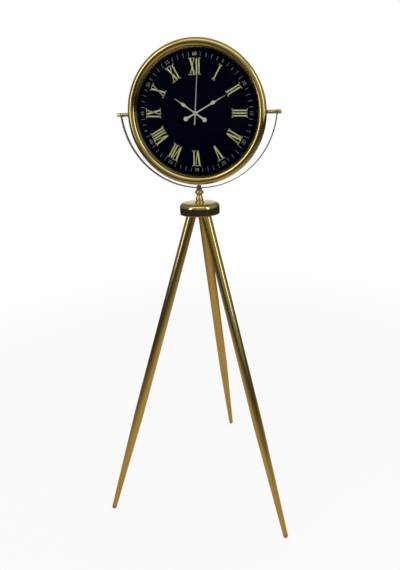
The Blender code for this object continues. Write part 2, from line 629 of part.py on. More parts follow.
def sleeve_profile(start, end):
    """A row of round beads between a collar at the case and a collar at the yoke, with a threaded stub."""
    bore = PIVOT_SCREW_RADIUS + CLEARANCE
    span = end - start
    bead = span / (SLEEVE_BEADS + 1)
    profile = [(bore, end), (SLEEVE_RADIUS, end), (SLEEVE_RADIUS, end - 3 * bead / 8)]
    for i in range(SLEEVE_BEADS):
        top = end - bead / 2 - i * bead
        profile += [(SLEEVE_WAIST_RADIUS, top), (SLEEVE_RADIUS, top - bead / 4),
                    (SLEEVE_RADIUS, top - 3 * bead / 4)]
    profile += [(SLEEVE_WAIST_RADIUS, start + bead / 2), (SLEEVE_RADIUS, start + 3 * bead / 8),
                (SLEEVE_RADIUS, start), (SLEEVE_STUB_RADIUS, start),
                (SLEEVE_STUB_RADIUS, start - SLEEVE_STUB_LENGTH), (0.0, start - SLEEVE_STUB_LENGTH)]
    floor = end - PIVOT_SCREW_REACH - OVERRUN
    return [(0.0, floor), (bore, floor)] + profile


def pivot_pieces():
    """On each side a beaded sleeve through the case wall, its nut inside, and the thumb screw."""
    outside = YOKE_HALF_SPAN + YOKE_THICKNESS / 2 + CLEARANCE
    nut_face = sqrt(CASE_BORE ** 2 - (PIVOT_NUT_FLATS / sqrt(3)) ** 2) - CLEARANCE
    for side, sign, turn in SIDES:
        turned("pivot_sleeve_" + side, sleeve_profile(SLEEVE_START, SLEEVE_END), SMALL_STEPS, BRASS,
               parent=head_frame, rotation=turn)
        hex_nut("pivot_nut_" + side, PIVOT_NUT_FLATS, SLEEVE_STUB_RADIUS + CLEARANCE, nut_face,
                PIVOT_NUT_HEIGHT, STEEL, parent=head_frame, rotation=turn)
        knob_frame = empty("knob_frame_" + side, (sign * outside, 0.0, 0.0), turn, head_frame)
        profile = [(0.0, KNOB_LENGTH), (KNOB_RADIUS - KNOB_EDGE, KNOB_LENGTH),
                   (KNOB_RADIUS, KNOB_LENGTH - KNOB_EDGE), (KNOB_RADIUS, KNOB_EDGE),
                   (KNOB_RADIUS - KNOB_EDGE, 0.0), (PIVOT_SCREW_RADIUS, 0.0),
                   (PIVOT_SCREW_RADIUS, -PIVOT_SCREW_REACH), (0.0, -PIVOT_SCREW_REACH)]
        turned("knob_" + side, profile, SMALL_STEPS, BRASS, parent=knob_frame)


def case_pieces():
    """The drum, the rolled bezel, the glass, the sloping ring inside it, the dial and its seat."""
    front = GLASS_FRONT - GLASS_THICKNESS + CLEARANCE
    back = -HEAD_CASE_DEPTH
    corner = arc((CASE_RADIUS - CASE_CORNER, back + CASE_CORNER), CASE_CORNER, 0, -90, 3)
    inside = arc((CASE_RADIUS - CASE_CORNER, back + CASE_CORNER), CASE_CORNER - CASE_WALL, -90, 0, 3)
    profile = ([(CASE_RADIUS, front)] + corner
               + [(CASE_FLANGE_RADIUS, back), (CASE_FLANGE_RADIUS, back + CASE_WALL)] + inside
               + [(CASE_BORE, front)])
    drum = turned("case_drum", profile, RIM_STEPS, DARK_BRASS, closed=True, parent=head_frame)
    reach = CASE_RADIUS + OVERRUN
    cut(drum, rod("sleeve_holes", SLEEVE_STUB_RADIUS + CLEARANCE, reach, -reach, SMALL_STEPS, None,
                  parent=head_frame, rotation=TO_THE_RIGHT))

    lip = GLASS_FRONT + CLEARANCE
    rebate = GLASS_RADIUS + CLEARANCE
    skirt_bore = BEZEL_RADIUS - BEZEL_SKIRT_WALL
    under = front + CLEARANCE
    outer_centre = (BEZEL_RADIUS - BEZEL_OUTER_ROLL, BEZEL_OUTER_ROLL_CENTRE)
    inner_centre = (BEZEL_INNER_RADIUS + BEZEL_INNER_ROLL, BEZEL_INNER_ROLL_CENTRE)
    profile = ([(BEZEL_INNER_RADIUS, lip)] + arc(inner_centre, BEZEL_INNER_ROLL, 180, 10)
               + arc(outer_centre, BEZEL_OUTER_ROLL, 150, 0, 6)
               + [(BEZEL_RADIUS, BEZEL_SKIRT_BACK), (skirt_bore, BEZEL_SKIRT_BACK), (skirt_bore, under),
                  (rebate, under), (rebate, lip)])
    turned("bezel_ring", profile, RIM_STEPS, BRASS, closed=True, parent=head_frame)

    rod("glass", GLASS_RADIUS, GLASS_FRONT, GLASS_BACK, RIM_STEPS, CLEAR_GLASS, parent=head_frame)
    sheet = REFLECTOR_SHEET
    flange = GLASS_BACK - CLEARANCE
    foot = DIAL_FRONT + CLEARANCE
    profile = [(DIAL_RADIUS, flange), (DIAL_RADIUS, flange - sheet),
               (BEZEL_INNER_RADIUS + sheet / 2, flange - sheet), (DIAL_SEEN_RADIUS + sheet, foot),
               (DIAL_SEEN_RADIUS, foot), (BEZEL_INNER_RADIUS - sheet / 2, flange)]
    turned("reflector_ring", profile, RIM_STEPS, DARK_BRASS, closed=True, parent=head_frame)
    bushing_hole = circle(BUSHING_RADIUS + CLEARANCE, SMALL_STEPS)
    flat_piece("dial_plate", [circle(DIAL_RADIUS, RIM_STEPS), bushing_hole], DIAL_FRONT, DIAL_THICKNESS,
               DIAL_BLACK, parent=head_frame)

    seat_front = DIAL_BACK - CLEARANCE
    seat_outer = CASE_BORE - CLEARANCE
    seat_wall = seat_outer - SEAT_RING_SHEET
    seat_inner = seat_outer - SEAT_RING_LEDGE
    profile = [(seat_outer, seat_front + SEAT_RING_RISE), (seat_outer, seat_front - SEAT_RING_SHEET),
               (seat_inner, seat_front - SEAT_RING_SHEET), (seat_inner, seat_front),
               (seat_wall, seat_front), (seat_wall, seat_front + SEAT_RING_RISE)]
    seat = turned("dial_seat_ring", profile, RIM_STEPS, STEEL, closed=True, parent=head_frame)
    notch_back = seat_front - SEAT_RING_SHEET - OVERRUN
    notch_front = PIVOT_NUT_FLATS / sqrt(3) + CLEARANCE
    notch_depth = seat_outer - DIAL_RADIUS + 2 * OVERRUN
    for side, sign, _ in SIDES:
        size = (notch_depth, SEAT_NOTCH_WIDTH, notch_front - notch_back)
        centre = (sign * (seat_outer + OVERRUN - notch_depth / 2), 0.0, (notch_front + notch_back) / 2)
        cut(seat, block("seat_notch_" + side, size, centre, None, parent=head_frame))


def rear_pieces():
    """The back cover with its window over the movement, and the screws that hold it to the case."""
    face = -HEAD_CASE_DEPTH - CLEARANCE
    half = REAR_WINDOW / 2 - REAR_WINDOW_CORNER
    window = []
    for i in range(4):
        centre = polar(half * sqrt(2), pi / 4 + i * pi / 2)
        window += [polar(REAR_WINDOW_CORNER, i * pi / 2 + j * pi / 6, centre) for j in range(4)]
    places = [polar(REAR_SCREW_CIRCLE, pi / 4 + tau * i / REAR_SCREW_COUNT) for i in range(REAR_SCREW_COUNT)]
    holes = [circle(REAR_SCREW_RADIUS + CLEARANCE, PIN_STEPS, place) for place in places]
    flat_piece("rear_cover", [circle(REAR_COVER_RADIUS, RIM_STEPS), window] + holes, face,
               REAR_COVER_THICKNESS, DARK_BRASS, parent=head_frame)
    drum = bpy.data.objects["case_drum"]
    seat = face - REAR_COVER_THICKNESS - CLEARANCE
    for i, (x, y) in enumerate(places, start=1):
        hole = rod("screw_hole_%d" % i, REAR_SCREW_RADIUS + CLEARANCE, face + REAR_SCREW_LENGTH, seat,
                   PIN_STEPS, None, parent=head_frame, location=(x, y, 0.0))
        cut(drum, hole)
        profile = [(0.0, seat + REAR_SCREW_LENGTH), (REAR_SCREW_RADIUS, seat + REAR_SCREW_LENGTH),
                   (REAR_SCREW_RADIUS, seat), (REAR_SCREW_HEAD_RADIUS, seat),
                   (REAR_SCREW_HEAD_RADIUS, seat - REAR_SCREW_HEAD_HEIGHT / 2),
                   (REAR_SCREW_HEAD_RADIUS * 2 / 3, seat - REAR_SCREW_HEAD_HEIGHT),
                   (0.0, seat - REAR_SCREW_HEAD_HEIGHT)]
        turned("rear_screw_%d" % i, profile, PIN_STEPS, STEEL, parent=head_frame, location=(x, y, 0.0))


BAY_LOW = MOVEMENT_WALL - MOVEMENT_SIZE / 2
BAY_HIGH = BAY_LOW + 2 * CELL_RADIUS + 2 * BAY_EDGE
TRAIN_LOW = BAY_HIGH + BAY_WALL
TRAIN_HIGH = MOVEMENT_SIZE / 2 - MOVEMENT_WALL
BAY_HALF_LENGTH = CELL_LENGTH / 2 + CONTACT_THICKNESS + 2 * CLEARANCE
HOUR_HAND_FRONT = HOUSING_FRONT + BUSHING_REACH + CLEARANCE + HAND_THICKNESS
MINUTE_HAND_FRONT = HOUSING_FRONT + HOUR_PIPE_REACH + CLEARANCE + HAND_THICKNESS
SECOND_HAND_FRONT = HOUSING_FRONT + MINUTE_PIPE_REACH + CLEARANCE + HAND_THICKNESS


def housing_pieces():
    """The moulded housing with its bushing, its back cover, the nut on the dial and the middle plate."""
    centre = (HOUSING_FRONT + HOUSING_BACK) / 2
    housing = block("movement_housing", (MOVEMENT_SIZE, MOVEMENT_SIZE, MOVEMENT_DEPTH), (0.0, 0.0, centre),
                    BLACK_PLASTIC, parent=head_frame)
    depth = HOUSING_FLOOR - HOUSING_BACK + OVERRUN
    middle = HOUSING_FLOOR - depth / 2
    width = MOVEMENT_SIZE - 2 * MOVEMENT_WALL
    train_size = (width, TRAIN_HIGH - TRAIN_LOW, depth)
    bay_size = (2 * BAY_HALF_LENGTH, BAY_HIGH - BAY_LOW, depth)
    join(housing, rod("bushing", BUSHING_RADIUS, HOUSING_FRONT + BUSHING_REACH,
                      HOUSING_FLOOR + MOVEMENT_WALL / 2, SMALL_STEPS, None, parent=head_frame))
    train_centre = (0.0, (TRAIN_HIGH + TRAIN_LOW) / 2, middle)
    cut(housing,
        block("train_space", train_size, train_centre, None, parent=head_frame),
        block("cell_space", bay_size, (0.0, (BAY_HIGH + BAY_LOW) / 2, middle), None, parent=head_frame),
        rod("bushing_bore", HOUR_PIPE_RADIUS + CLEARANCE, HOUSING_FRONT + BUSHING_REACH + OVERRUN,
            HOUSING_FLOOR - OVERRUN, SMALL_STEPS, None, parent=head_frame))
    hex_nut("dial_nut", DIAL_NUT_FLATS, BUSHING_RADIUS + CLEARANCE, DIAL_FRONT + CLEARANCE + DIAL_NUT_HEIGHT,
            DIAL_NUT_HEIGHT, BRASS, parent=head_frame)

    plate_centre = (0.0, (TRAIN_HIGH + TRAIN_LOW) / 2)
    plate_edge = rectangle(width - 2 * CLEARANCE, TRAIN_HIGH - TRAIN_LOW - 2 * CLEARANCE, plate_centre)
    shaft_hole = circle(SETTING_SHAFT_RADIUS + CLEARANCE, PIN_STEPS, SETTING_PLACE)
    flat_piece("movement_cover", [plate_edge, shaft_hole], COVER_FLOOR, COVER_THICKNESS, BLACK_PLASTIC,
               parent=head_frame)
    pipe_hole = circle(MINUTE_PIPE_RADIUS + CLEARANCE, SMALL_STEPS)
    plate = flat_piece("middle_plate", [plate_edge, shaft_hole, pipe_hole], PLATE_LAYER,
                       MIDDLE_PLATE_THICKNESS, WHITE_PLASTIC, parent=head_frame)
    stator = stator_places()
    for i, (x, y) in enumerate(stator["posts"]):
        join(plate, rod("stator_post_%d" % i, POST_RADIUS, PLATE_LAYER - MIDDLE_PLATE_THICKNESS / 2,
                        stator["top"] + CLEARANCE, PIN_STEPS, None, parent=head_frame, location=(x, y, 0.0)))


def stator_places():
    """Where the stator, the coil on it and the posts that carry it lie, from the rotor's place."""
    hole = ROTOR_MAGNET_RADIUS + ROTOR_GAP
    x, y = ROTOR_PLACE
    right = x + hole + STATOR_MARGIN
    left = right - STATOR_LENGTH
    low = y - hole - STATOR_ARM
    body = y + hole + STATOR_ARM / 2
    coil = body + CLEARANCE + COIL_RADIUS
    top = STEP_LAYER_BACK - STATOR_DROP
    posts = [(right - STATOR_ARM / 2, low + STATOR_ARM), ((left + x - hole) / 2, y + STATOR_ARM)]
    return {"hole": hole, "left": left, "right": right, "low": low, "body": body, "coil": coil,
            "top": top, "middle": top - STATOR_THICKNESS / 2, "posts": posts}


def motor_pieces():
    """The stator plate, the coil wound round its upper arm, the circuit board, the cell and its contacts."""
    at = stator_places()
    high = at["coil"] + STATOR_ARM / 2
    edge = rectangle(at["right"] - at["left"], high - at["low"],
                     ((at["right"] + at["left"]) / 2, (high + at["low"]) / 2))
    window_left, window_right = at["left"] + STATOR_ARM, at["right"] - STATOR_ARM
    window = rectangle(window_right - window_left, high - STATOR_ARM - at["body"],
                       ((window_left + window_right) / 2, (high - STATOR_ARM + at["body"]) / 2))
    flat_piece("stator", [edge, window, circle(at["hole"], SMALL_STEPS, ROTOR_PLACE)], at["top"],
               STATOR_THICKNESS, STEEL, parent=head_frame)
    half = (window_right - window_left) / 2 - CLEARANCE
    winding = COIL_RADIUS * COIL_WINDING_SHARE
    profile = [(COIL_RADIUS, half), (COIL_RADIUS, half - COIL_FLANGE), (winding, half - COIL_FLANGE),
               (winding, COIL_FLANGE - half), (COIL_RADIUS, COIL_FLANGE - half), (COIL_RADIUS, -half),
               (COIL_BORE, -half), (COIL_BORE, half)]
    turned("motor_coil", profile, SMALL_STEPS, COPPER, closed=True, parent=head_frame,
           location=((window_left + window_right) / 2, at["coil"], at["middle"]), rotation=TO_THE_RIGHT)

    board_x = MOVEMENT_WALL - MOVEMENT_SIZE / 2 + CLEARANCE + BOARD_WIDTH / 2
    board_y = TRAIN_LOW + CLEARANCE + BOARD_HEIGHT / 2
    flat_piece("circuit_board", [rectangle(BOARD_WIDTH, BOARD_HEIGHT, (board_x, board_y))],
               COVER_FLOOR + CLEARANCE + BOARD_THICKNESS, BOARD_THICKNESS, BOARD_GREEN, parent=head_frame)

    cell_y = (BAY_LOW + BAY_HIGH) / 2
    cell_z = HOUSING_FLOOR - CLEARANCE - CELL_RADIUS
    half = CELL_LENGTH / 2
    shoulder = half - CELL_NUB_LENGTH
    profile = [(0.0, half), (CELL_NUB_RADIUS, half), (CELL_NUB_RADIUS, shoulder),
               (CELL_RADIUS - CELL_EDGE, shoulder), (CELL_RADIUS, shoulder - CELL_EDGE),
               (CELL_RADIUS, CELL_EDGE - half), (CELL_RADIUS - CELL_EDGE, -half), (0.0, -half)]
    turned("cell", profile, SMALL_STEPS, STEEL, parent=head_frame, location=(0.0, cell_y, cell_z),
           rotation=TO_THE_RIGHT)
    for name, sign in (("cell_contact_left", -1), ("cell_contact_right", 1)):
        centre = (sign * (half + CLEARANCE + CONTACT_THICKNESS / 2), cell_y, cell_z)
        block(name, (CONTACT_THICKNESS, CONTACT_SIZE, CONTACT_SIZE), centre, STEEL, parent=head_frame)


def gear_outline(teeth, module, phase):
    """A toothed outline: one tip and one root a tooth, the first tooth at the angle phase."""
    pitch = teeth * module / 2
    points = []
    for i in range(teeth):
        angle = phase + tau * i / teeth
        points.append(polar(pitch + ADDENDUM_SHARE * module, angle))
        points.append(polar(pitch - DEDENDUM_SHARE * module, angle + pi / teeth))
    return points


def meshing_phase(phase, teeth, direction, mate_teeth):
    """The phase of a mate in that direction, so that its gaps take the first gear's teeth."""
    return direction + pi + pi / mate_teeth - (phase - direction) * teeth / mate_teeth


def geared_arbor(name, place, profile, gears, material):
    """A solid arbor with its wheel and pinion moulded on, turning about its own place."""
    location = (place[0], place[1], 0.0)
    arbor = turned(name, profile, PIN_STEPS, material, parent=head_frame, location=location)
    for i, (teeth, module, phase, layer) in enumerate(gears):
        join(arbor, flat_piece("%s_teeth_%d" % (name, i), [gear_outline(teeth, module, phase)], layer,
                               WHEEL_THICKNESS, None, parent=head_frame, location=location))
    return arbor


def geared_pipe(name, radius, bore, top, bottom, gear, material):
    """A hollow pipe on the hand axis with its wheel moulded on."""
    teeth, module, phase, layer = gear
    pipe = tube(name, radius, bore, top, bottom, SMALL_STEPS, material, parent=head_frame)
    hole = circle((radius + bore) / 2, SMALL_STEPS)
    join(pipe, flat_piece(name + "_teeth", [gear_outline(teeth, module, phase), hole], layer, WHEEL_THICKNESS,
                          None, parent=head_frame))


def plain_arbor(radius, top, bottom):
    """The profile of a straight arbor."""
    return [(0.0, top), (radius, top), (radius, bottom), (0.0, bottom)]


def train_pieces():
    """The wheels of the movement: motion work before the middle plate, going train behind it."""
    minute_phase = pi / 2
    motion_phase = meshing_phase(minute_phase, MINUTE_PINION_TEETH, pi / 2, MOTION_WHEEL_TEETH)
    hour_phase = meshing_phase(0.0, MOTION_PINION_TEETH, -pi / 2, HOUR_WHEEL_TEETH)
    setting_phase = meshing_phase(motion_phase, MOTION_WHEEL_TEETH, SETTING_DIRECTION, SETTING_TEETH)
    third_phase = meshing_phase(THIRD_DIRECTION, SECOND_PINION_TEETH, THIRD_DIRECTION, THIRD_WHEEL_TEETH)
    back = THIRD_DIRECTION + pi
    centre_phase = meshing_phase(back, THIRD_PINION_TEETH, back, CENTRE_WHEEL_TEETH)
    step_phase = meshing_phase(STEP_DIRECTION, SECOND_WHEEL_TEETH, STEP_DIRECTION, STEP_PINION_TEETH)
    rotor_phase = meshing_phase(ROTOR_DIRECTION, STEP_WHEEL_TEETH, ROTOR_DIRECTION, ROTOR_TEETH)

    geared_pipe("hour_wheel", HOUR_PIPE_RADIUS, HOUR_PIPE_BORE, HOUSING_FRONT + HOUR_PIPE_REACH,
                HOUR_LAYER - WHEEL_THICKNESS, (HOUR_WHEEL_TEETH, HOUR_PITCH_MODULE, hour_phase, HOUR_LAYER),
                WHITE_PLASTIC)
    geared_pipe("minute_pipe", MINUTE_PIPE_RADIUS, MINUTE_PIPE_BORE, HOUSING_FRONT + MINUTE_PIPE_REACH,
                CENTRE_LAYER - WHEEL_THICKNESS,
                (MINUTE_PINION_TEETH, MOTION_PITCH_MODULE, minute_phase, MOTION_LAYER), BRASS)
    geared_arbor("motion_wheel", MOTION_PLACE, plain_arbor(ARBOR_RADIUS, HOUR_LAYER, PLATE_LAYER + CLEARANCE),
                 [(MOTION_PINION_TEETH, HOUR_PITCH_MODULE, 0.0, HOUR_LAYER - CLEARANCE / 2),
                  (MOTION_WHEEL_TEETH, MOTION_PITCH_MODULE, motion_phase, MOTION_LAYER)], WHITE_PLASTIC)
    knob = HOUSING_BACK - CLEARANCE
    profile = [(0.0, HOUR_LAYER), (SETTING_SHAFT_RADIUS, HOUR_LAYER), (SETTING_SHAFT_RADIUS, knob),
               (SETTING_KNOB_RADIUS, knob), (SETTING_KNOB_RADIUS, knob - SETTING_KNOB_LENGTH),
               (0.0, knob - SETTING_KNOB_LENGTH)]
    geared_arbor("setting_knob", SETTING_PLACE, profile,
                 [(SETTING_TEETH, MOTION_PITCH_MODULE, setting_phase, MOTION_LAYER)], WHITE_PLASTIC)

    flat_piece("centre_wheel", [gear_outline(CENTRE_WHEEL_TEETH, CENTRE_PITCH_MODULE, centre_phase),
                                circle(MINUTE_PIPE_RADIUS + CLEARANCE, SMALL_STEPS)],
               CENTRE_LAYER, WHEEL_THICKNESS, WHITE_PLASTIC, parent=head_frame)
    seat = COVER_FLOOR + CLEARANCE
    geared_arbor("third_wheel", THIRD_PLACE, plain_arbor(ARBOR_RADIUS, CENTRE_LAYER, seat),
                 [(THIRD_PINION_TEETH, CENTRE_PITCH_MODULE, back, CENTRE_LAYER - CLEARANCE / 2),
                  (THIRD_WHEEL_TEETH, THIRD_PITCH_MODULE, third_phase, THIRD_LAYER)], WHITE_PLASTIC)
    geared_arbor("second_arbor", (0.0, 0.0),
                 plain_arbor(SECOND_ARBOR_RADIUS, HOUSING_FRONT + SECOND_ARBOR_REACH, seat),
                 [(SECOND_PINION_TEETH, THIRD_PITCH_MODULE, THIRD_DIRECTION, THIRD_LAYER),
                  (SECOND_WHEEL_TEETH, SECOND_PITCH_MODULE, STEP_DIRECTION, SECOND_LAYER)], WHITE_PLASTIC)
    geared_arbor("step_wheel", STEP_PLACE, plain_arbor(ARBOR_RADIUS, CENTRE_LAYER, seat),
                 [(STEP_PINION_TEETH, SECOND_PITCH_MODULE, step_phase, SECOND_LAYER),
                  (STEP_WHEEL_TEETH, STEP_PITCH_MODULE, ROTOR_DIRECTION, STEP_LAYER)], WHITE_PLASTIC)
    magnet = stator_places()["middle"] + ROTOR_MAGNET_LENGTH / 2
    profile = [(0.0, CENTRE_LAYER), (ARBOR_RADIUS, CENTRE_LAYER), (ARBOR_RADIUS, magnet),
               (ROTOR_MAGNET_RADIUS, magnet), (ROTOR_MAGNET_RADIUS, magnet - ROTOR_MAGNET_LENGTH),
               (ARBOR_RADIUS, magnet - ROTOR_MAGNET_LENGTH), (ARBOR_RADIUS, seat), (0.0, seat)]
    geared_arbor("rotor", ROTOR_PLACE, profile, [(ROTOR_TEETH, STEP_PITCH_MODULE, rotor_phase, STEP_LAYER)],
                 BLACK_PLASTIC)


def mirrored(right_side):
    """A closed outline from its right side, listed upwards, where points on the middle line count once."""
    return right_side + [(-x, y) for x, y in reversed(right_side) if x > MERGE]


def bulb_hand(length, bulb_place, bulb_half_width):
    """A hand with a disc on its tail, a boss, a swelling bulb and a long needle."""
    neck = HAND_NECK_HALF_WIDTH
    right = arc((0.0, -HAND_TAIL), HAND_TAIL_DISC_RADIUS, -90, 72, 8)
    right += arc((0.0, 0.0), HAND_BOSS_RADIUS, -70, 70, 6)
    steps = 8
    for i in range(steps + 1):
        swell = sin(pi * i / steps) ** 2
        right.append((neck + (bulb_half_width - neck) * swell,
                      bulb_place + HAND_BULB_HALF_LENGTH * (2 * i / steps - 1)))
    right += [(HAND_NEEDLE_HALF_WIDTH, length - HAND_NEEDLE_HALF_WIDTH), (0.0, length)]
    right[0] = (0.0, right[0][1])
    return mirrored(right)


def needle_hand():
    """The thin second hand, a little wider towards the end of its tail."""
    boss = arc((0.0, 0.0), SECOND_BOSS_RADIUS, -65, 70, 6)
    right = [(0.0, -SECOND_HAND_TAIL), (SECOND_TAIL_HALF_WIDTH, -SECOND_HAND_TAIL)] + boss
    right += [(SECOND_HALF_WIDTH / 2, SECOND_HAND_LENGTH), (0.0, SECOND_HAND_LENGTH)]
    return mirrored(right)


def hand_pieces():
    """The three hands pressed on their pipes, showing ten past ten."""
    hands = (("hour_hand", bulb_hand(HOUR_HAND_LENGTH, HOUR_BULB_PLACE, HOUR_BULB_HALF_WIDTH),
              HOUR_PIPE_RADIUS, HOUR_HAND_FRONT, HOUR_HAND_ANGLE),
             ("minute_hand", bulb_hand(MINUTE_HAND_LENGTH, MINUTE_BULB_PLACE, MINUTE_BULB_HALF_WIDTH),
              MINUTE_PIPE_RADIUS, MINUTE_HAND_FRONT, MINUTE_HAND_ANGLE),
             ("second_hand", needle_hand(), SECOND_ARBOR_RADIUS, SECOND_HAND_FRONT, SECOND_HAND_ANGLE))
    for name, outline, pipe, front, angle in hands:
        flat_piece(name, [outline, circle(pipe + CLEARANCE, SMALL_STEPS)], front, HAND_THICKNESS, PALE_BRASS,
                   parent=head_frame, rotation=(0.0, 0.0, -angle))


floor_cutter = block("floor_cutter", (3 * FOOT_RADIUS, 3 * FOOT_RADIUS, FOOT_TIP_RADIUS),
                     (0.0, 0.0, -FOOT_TIP_RADIUS / 2), None, parent=hub_frame)
hub_pieces({side: leg_pieces(side, direction, floor_cutter) for side, direction in LEGS})
stem_piece()
yoke_pieces()
pivot_pieces()
case_pieces()
rear_pieces()
housing_pieces()
motor_pieces()
train_pieces()
hand_pieces()
shade_smooth()
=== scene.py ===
import json
from math import asin, atan2, cos, hypot, pi, radians, sin, tan, tau

import bmesh
import bpy
from mathutils import Matrix, Vector


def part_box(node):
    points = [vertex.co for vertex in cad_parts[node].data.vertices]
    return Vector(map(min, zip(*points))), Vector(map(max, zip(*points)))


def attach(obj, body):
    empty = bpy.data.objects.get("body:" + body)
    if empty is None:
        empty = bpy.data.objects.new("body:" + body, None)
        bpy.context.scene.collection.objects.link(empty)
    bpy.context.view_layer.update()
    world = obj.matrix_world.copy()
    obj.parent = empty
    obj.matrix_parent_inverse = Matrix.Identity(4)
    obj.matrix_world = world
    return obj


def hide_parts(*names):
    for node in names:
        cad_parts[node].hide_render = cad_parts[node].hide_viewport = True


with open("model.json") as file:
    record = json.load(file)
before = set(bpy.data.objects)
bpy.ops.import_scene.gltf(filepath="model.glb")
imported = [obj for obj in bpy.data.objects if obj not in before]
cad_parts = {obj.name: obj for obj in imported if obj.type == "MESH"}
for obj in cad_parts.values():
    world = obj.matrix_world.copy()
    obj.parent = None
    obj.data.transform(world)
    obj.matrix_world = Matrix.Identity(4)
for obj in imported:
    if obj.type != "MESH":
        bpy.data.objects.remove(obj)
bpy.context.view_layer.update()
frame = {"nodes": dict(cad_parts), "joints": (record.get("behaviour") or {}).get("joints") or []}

# Camera
# A phone held at chest height, a little to the right of the dial and looking slightly down.
# Its frame is that of a 36 mm sensor, which holds the long side of a picture 400 by 570.
# Angles are in radians, and the focal length and the shifts in pixels of that picture.
camera_place = (0.3487, -1.2009, 1.0712)
camera_heading = -0.217
camera_dip = 0.210
camera_roll = -0.021
long_side, focal_length = 570, 458.2
sensor = 36.0
shift_right, shift_down = 37, 70

forward = Matrix.Rotation(-camera_heading, 3, "Z") @ Matrix.Rotation(-camera_dip, 3, "X")
camera = bpy.data.objects.new("camera", bpy.data.cameras.new("camera"))
bpy.context.scene.collection.objects.link(camera)
camera.matrix_world = (Matrix.Translation(camera_place) @ forward.to_4x4()
                       @ Matrix.Rotation(pi / 2, 4, "X") @ Matrix.Rotation(camera_roll, 4, "Z"))
camera.data.sensor_width = sensor
camera.data.lens = sensor * focal_length / long_side
camera.data.shift_x = -shift_right / long_side
camera.data.shift_y = -shift_down / long_side
bpy.context.scene.camera = camera
bpy.context.scene.view_settings.view_transform = "Standard"

# Studio
# A plain white room with soft boxes above. Metal and glass show more of it than the camera sees:
# the lit sweep behind the clock, dimmer walls and ceiling, a tall window in front on either side
# and a dim doorway between them.
plain_level = (0.44, 0.44, 0.43, 1.0)
white = (1.0, 1.0, 1.0, 1.0)
front_low, front_high = (0.24, 0.27, 0.23, 1.0), (0.33, 0.33, 0.25, 1.0)
front_rise, front_top = 0.10, 0.35
doorway = (0.150, 0.155, 0.115, 1.0)
doorway_heading, doorway_edge, doorway_core = (-0.292, -0.956, 0.0), 0.955, 0.982
side_walls = (0.17, 0.155, 0.115, 1.0)
ceiling = (0.32, 0.30, 0.21, 1.0)
wall_heading, wall_start, wall_end = (-0.6, 0.8, 0.0), -0.48, 0.15
sweep_heading, sweep_edge, sweep_core = (-0.295, 0.955, 0.0), 0.93, 1.0
sweep_top, ceiling_edge, ceiling_core = 0.10, 0.34, 0.75
lamp_target = (0.0, 0.0, 0.9)

world = bpy.data.worlds.new("studio_room")
world.use_nodes = True
bpy.context.scene.world = world
nodes, link = world.node_tree.nodes, world.node_tree.links.new


def blend_colours(nodes, link, factor, first, second):
    """A mix of two colours or colour outputs by a factor output."""
    blend = nodes.new("ShaderNodeMix")
    blend.data_type = "RGBA"
    link(factor, blend.inputs["Factor"])
    for socket, colour in (("A", first), ("B", second)):
        if isinstance(colour, bpy.types.NodeSocket):
            link(colour, blend.inputs[socket])
        else:
            blend.inputs[socket].default_value = colour
    return blend.outputs["Result"]


def ramp(nodes, link, value, low, high, start=0.0):
    """A value eased from a start level to 1 between two limits."""
    eased = nodes.new("ShaderNodeMapRange")
    eased.interpolation_type = "SMOOTHSTEP"
    eased.inputs["From Min"].default_value = low
    eased.inputs["From Max"].default_value = high
    eased.inputs["To Min"].default_value = start
    link(value, eased.inputs["Value"])
    return eased.outputs["Result"]


direction = nodes.new("ShaderNodeTexCoord")
slope = nodes.new("ShaderNodeSeparateXYZ")
link(direction.outputs["Generated"], slope.inputs["Vector"])


def facing(heading, low, high):
    """How far a ray looks along a heading, eased from 0 to 1 between two limits."""
    along = nodes.new("ShaderNodeVectorMath")
    along.operation = "DOT_PRODUCT"
    along.inputs[1].default_value = heading
    link(direction.outputs["Generated"], along.inputs[0])
    return ramp(nodes, link, along.outputs["Value"], low, high)


on_sweep = facing(sweep_heading, sweep_edge, sweep_core)
on_walls = facing(wall_heading, wall_start, wall_end)
on_doorway = facing(doorway_heading, doorway_edge, doorway_core)
upwards = ramp(nodes, link, slope.outputs["Z"], front_rise, front_top)
front_room = blend_colours(nodes, link, upwards, front_low, front_high)
front = blend_colours(nodes, link, on_doorway, front_room, doorway)
room = blend_colours(nodes, link, on_walls, front, side_walls)
above_sweep = ramp(nodes, link, slope.outputs["Z"], sweep_top, ceiling_edge)
sweep_tone = blend_colours(nodes, link, above_sweep, white, side_walls)
walls_and_sweep = blend_colours(nodes, link, on_sweep, room, sweep_tone)
rays = nodes.new("ShaderNodeLightPath")
# Rays that have come through the glass don't meet the ceiling, so that the dial stays dark.
no_glass = nodes.new("ShaderNodeMath")
no_glass.operation = "SUBTRACT"
no_glass.inputs[0].default_value = 1.0
link(rays.outputs["Is Transmission Ray"], no_glass.inputs[1])
overhead = nodes.new("ShaderNodeMath")
overhead.operation = "MULTIPLY"
link(ramp(nodes, link, slope.outputs["Z"], ceiling_edge, ceiling_core), overhead.inputs[0])
link(no_glass.outputs["Value"], overhead.inputs[1])
seen_by_metal = blend_colours(nodes, link, overhead.outputs["Value"], walls_and_sweep, ceiling)
mirrored = nodes.new("ShaderNodeMath")
mirrored.operation = "MAXIMUM"
link(rays.outputs["Is Glossy Ray"], mirrored.inputs[0])
link(rays.outputs["Is Transmission Ray"], mirrored.inputs[1])
lit = blend_colours(nodes, link, mirrored.outputs["Value"], plain_level, seen_by_metal)
seen = blend_colours(nodes, link, rays.outputs["Is Camera Ray"], lit, white)
link(seen, nodes["Background"].inputs["Color"])


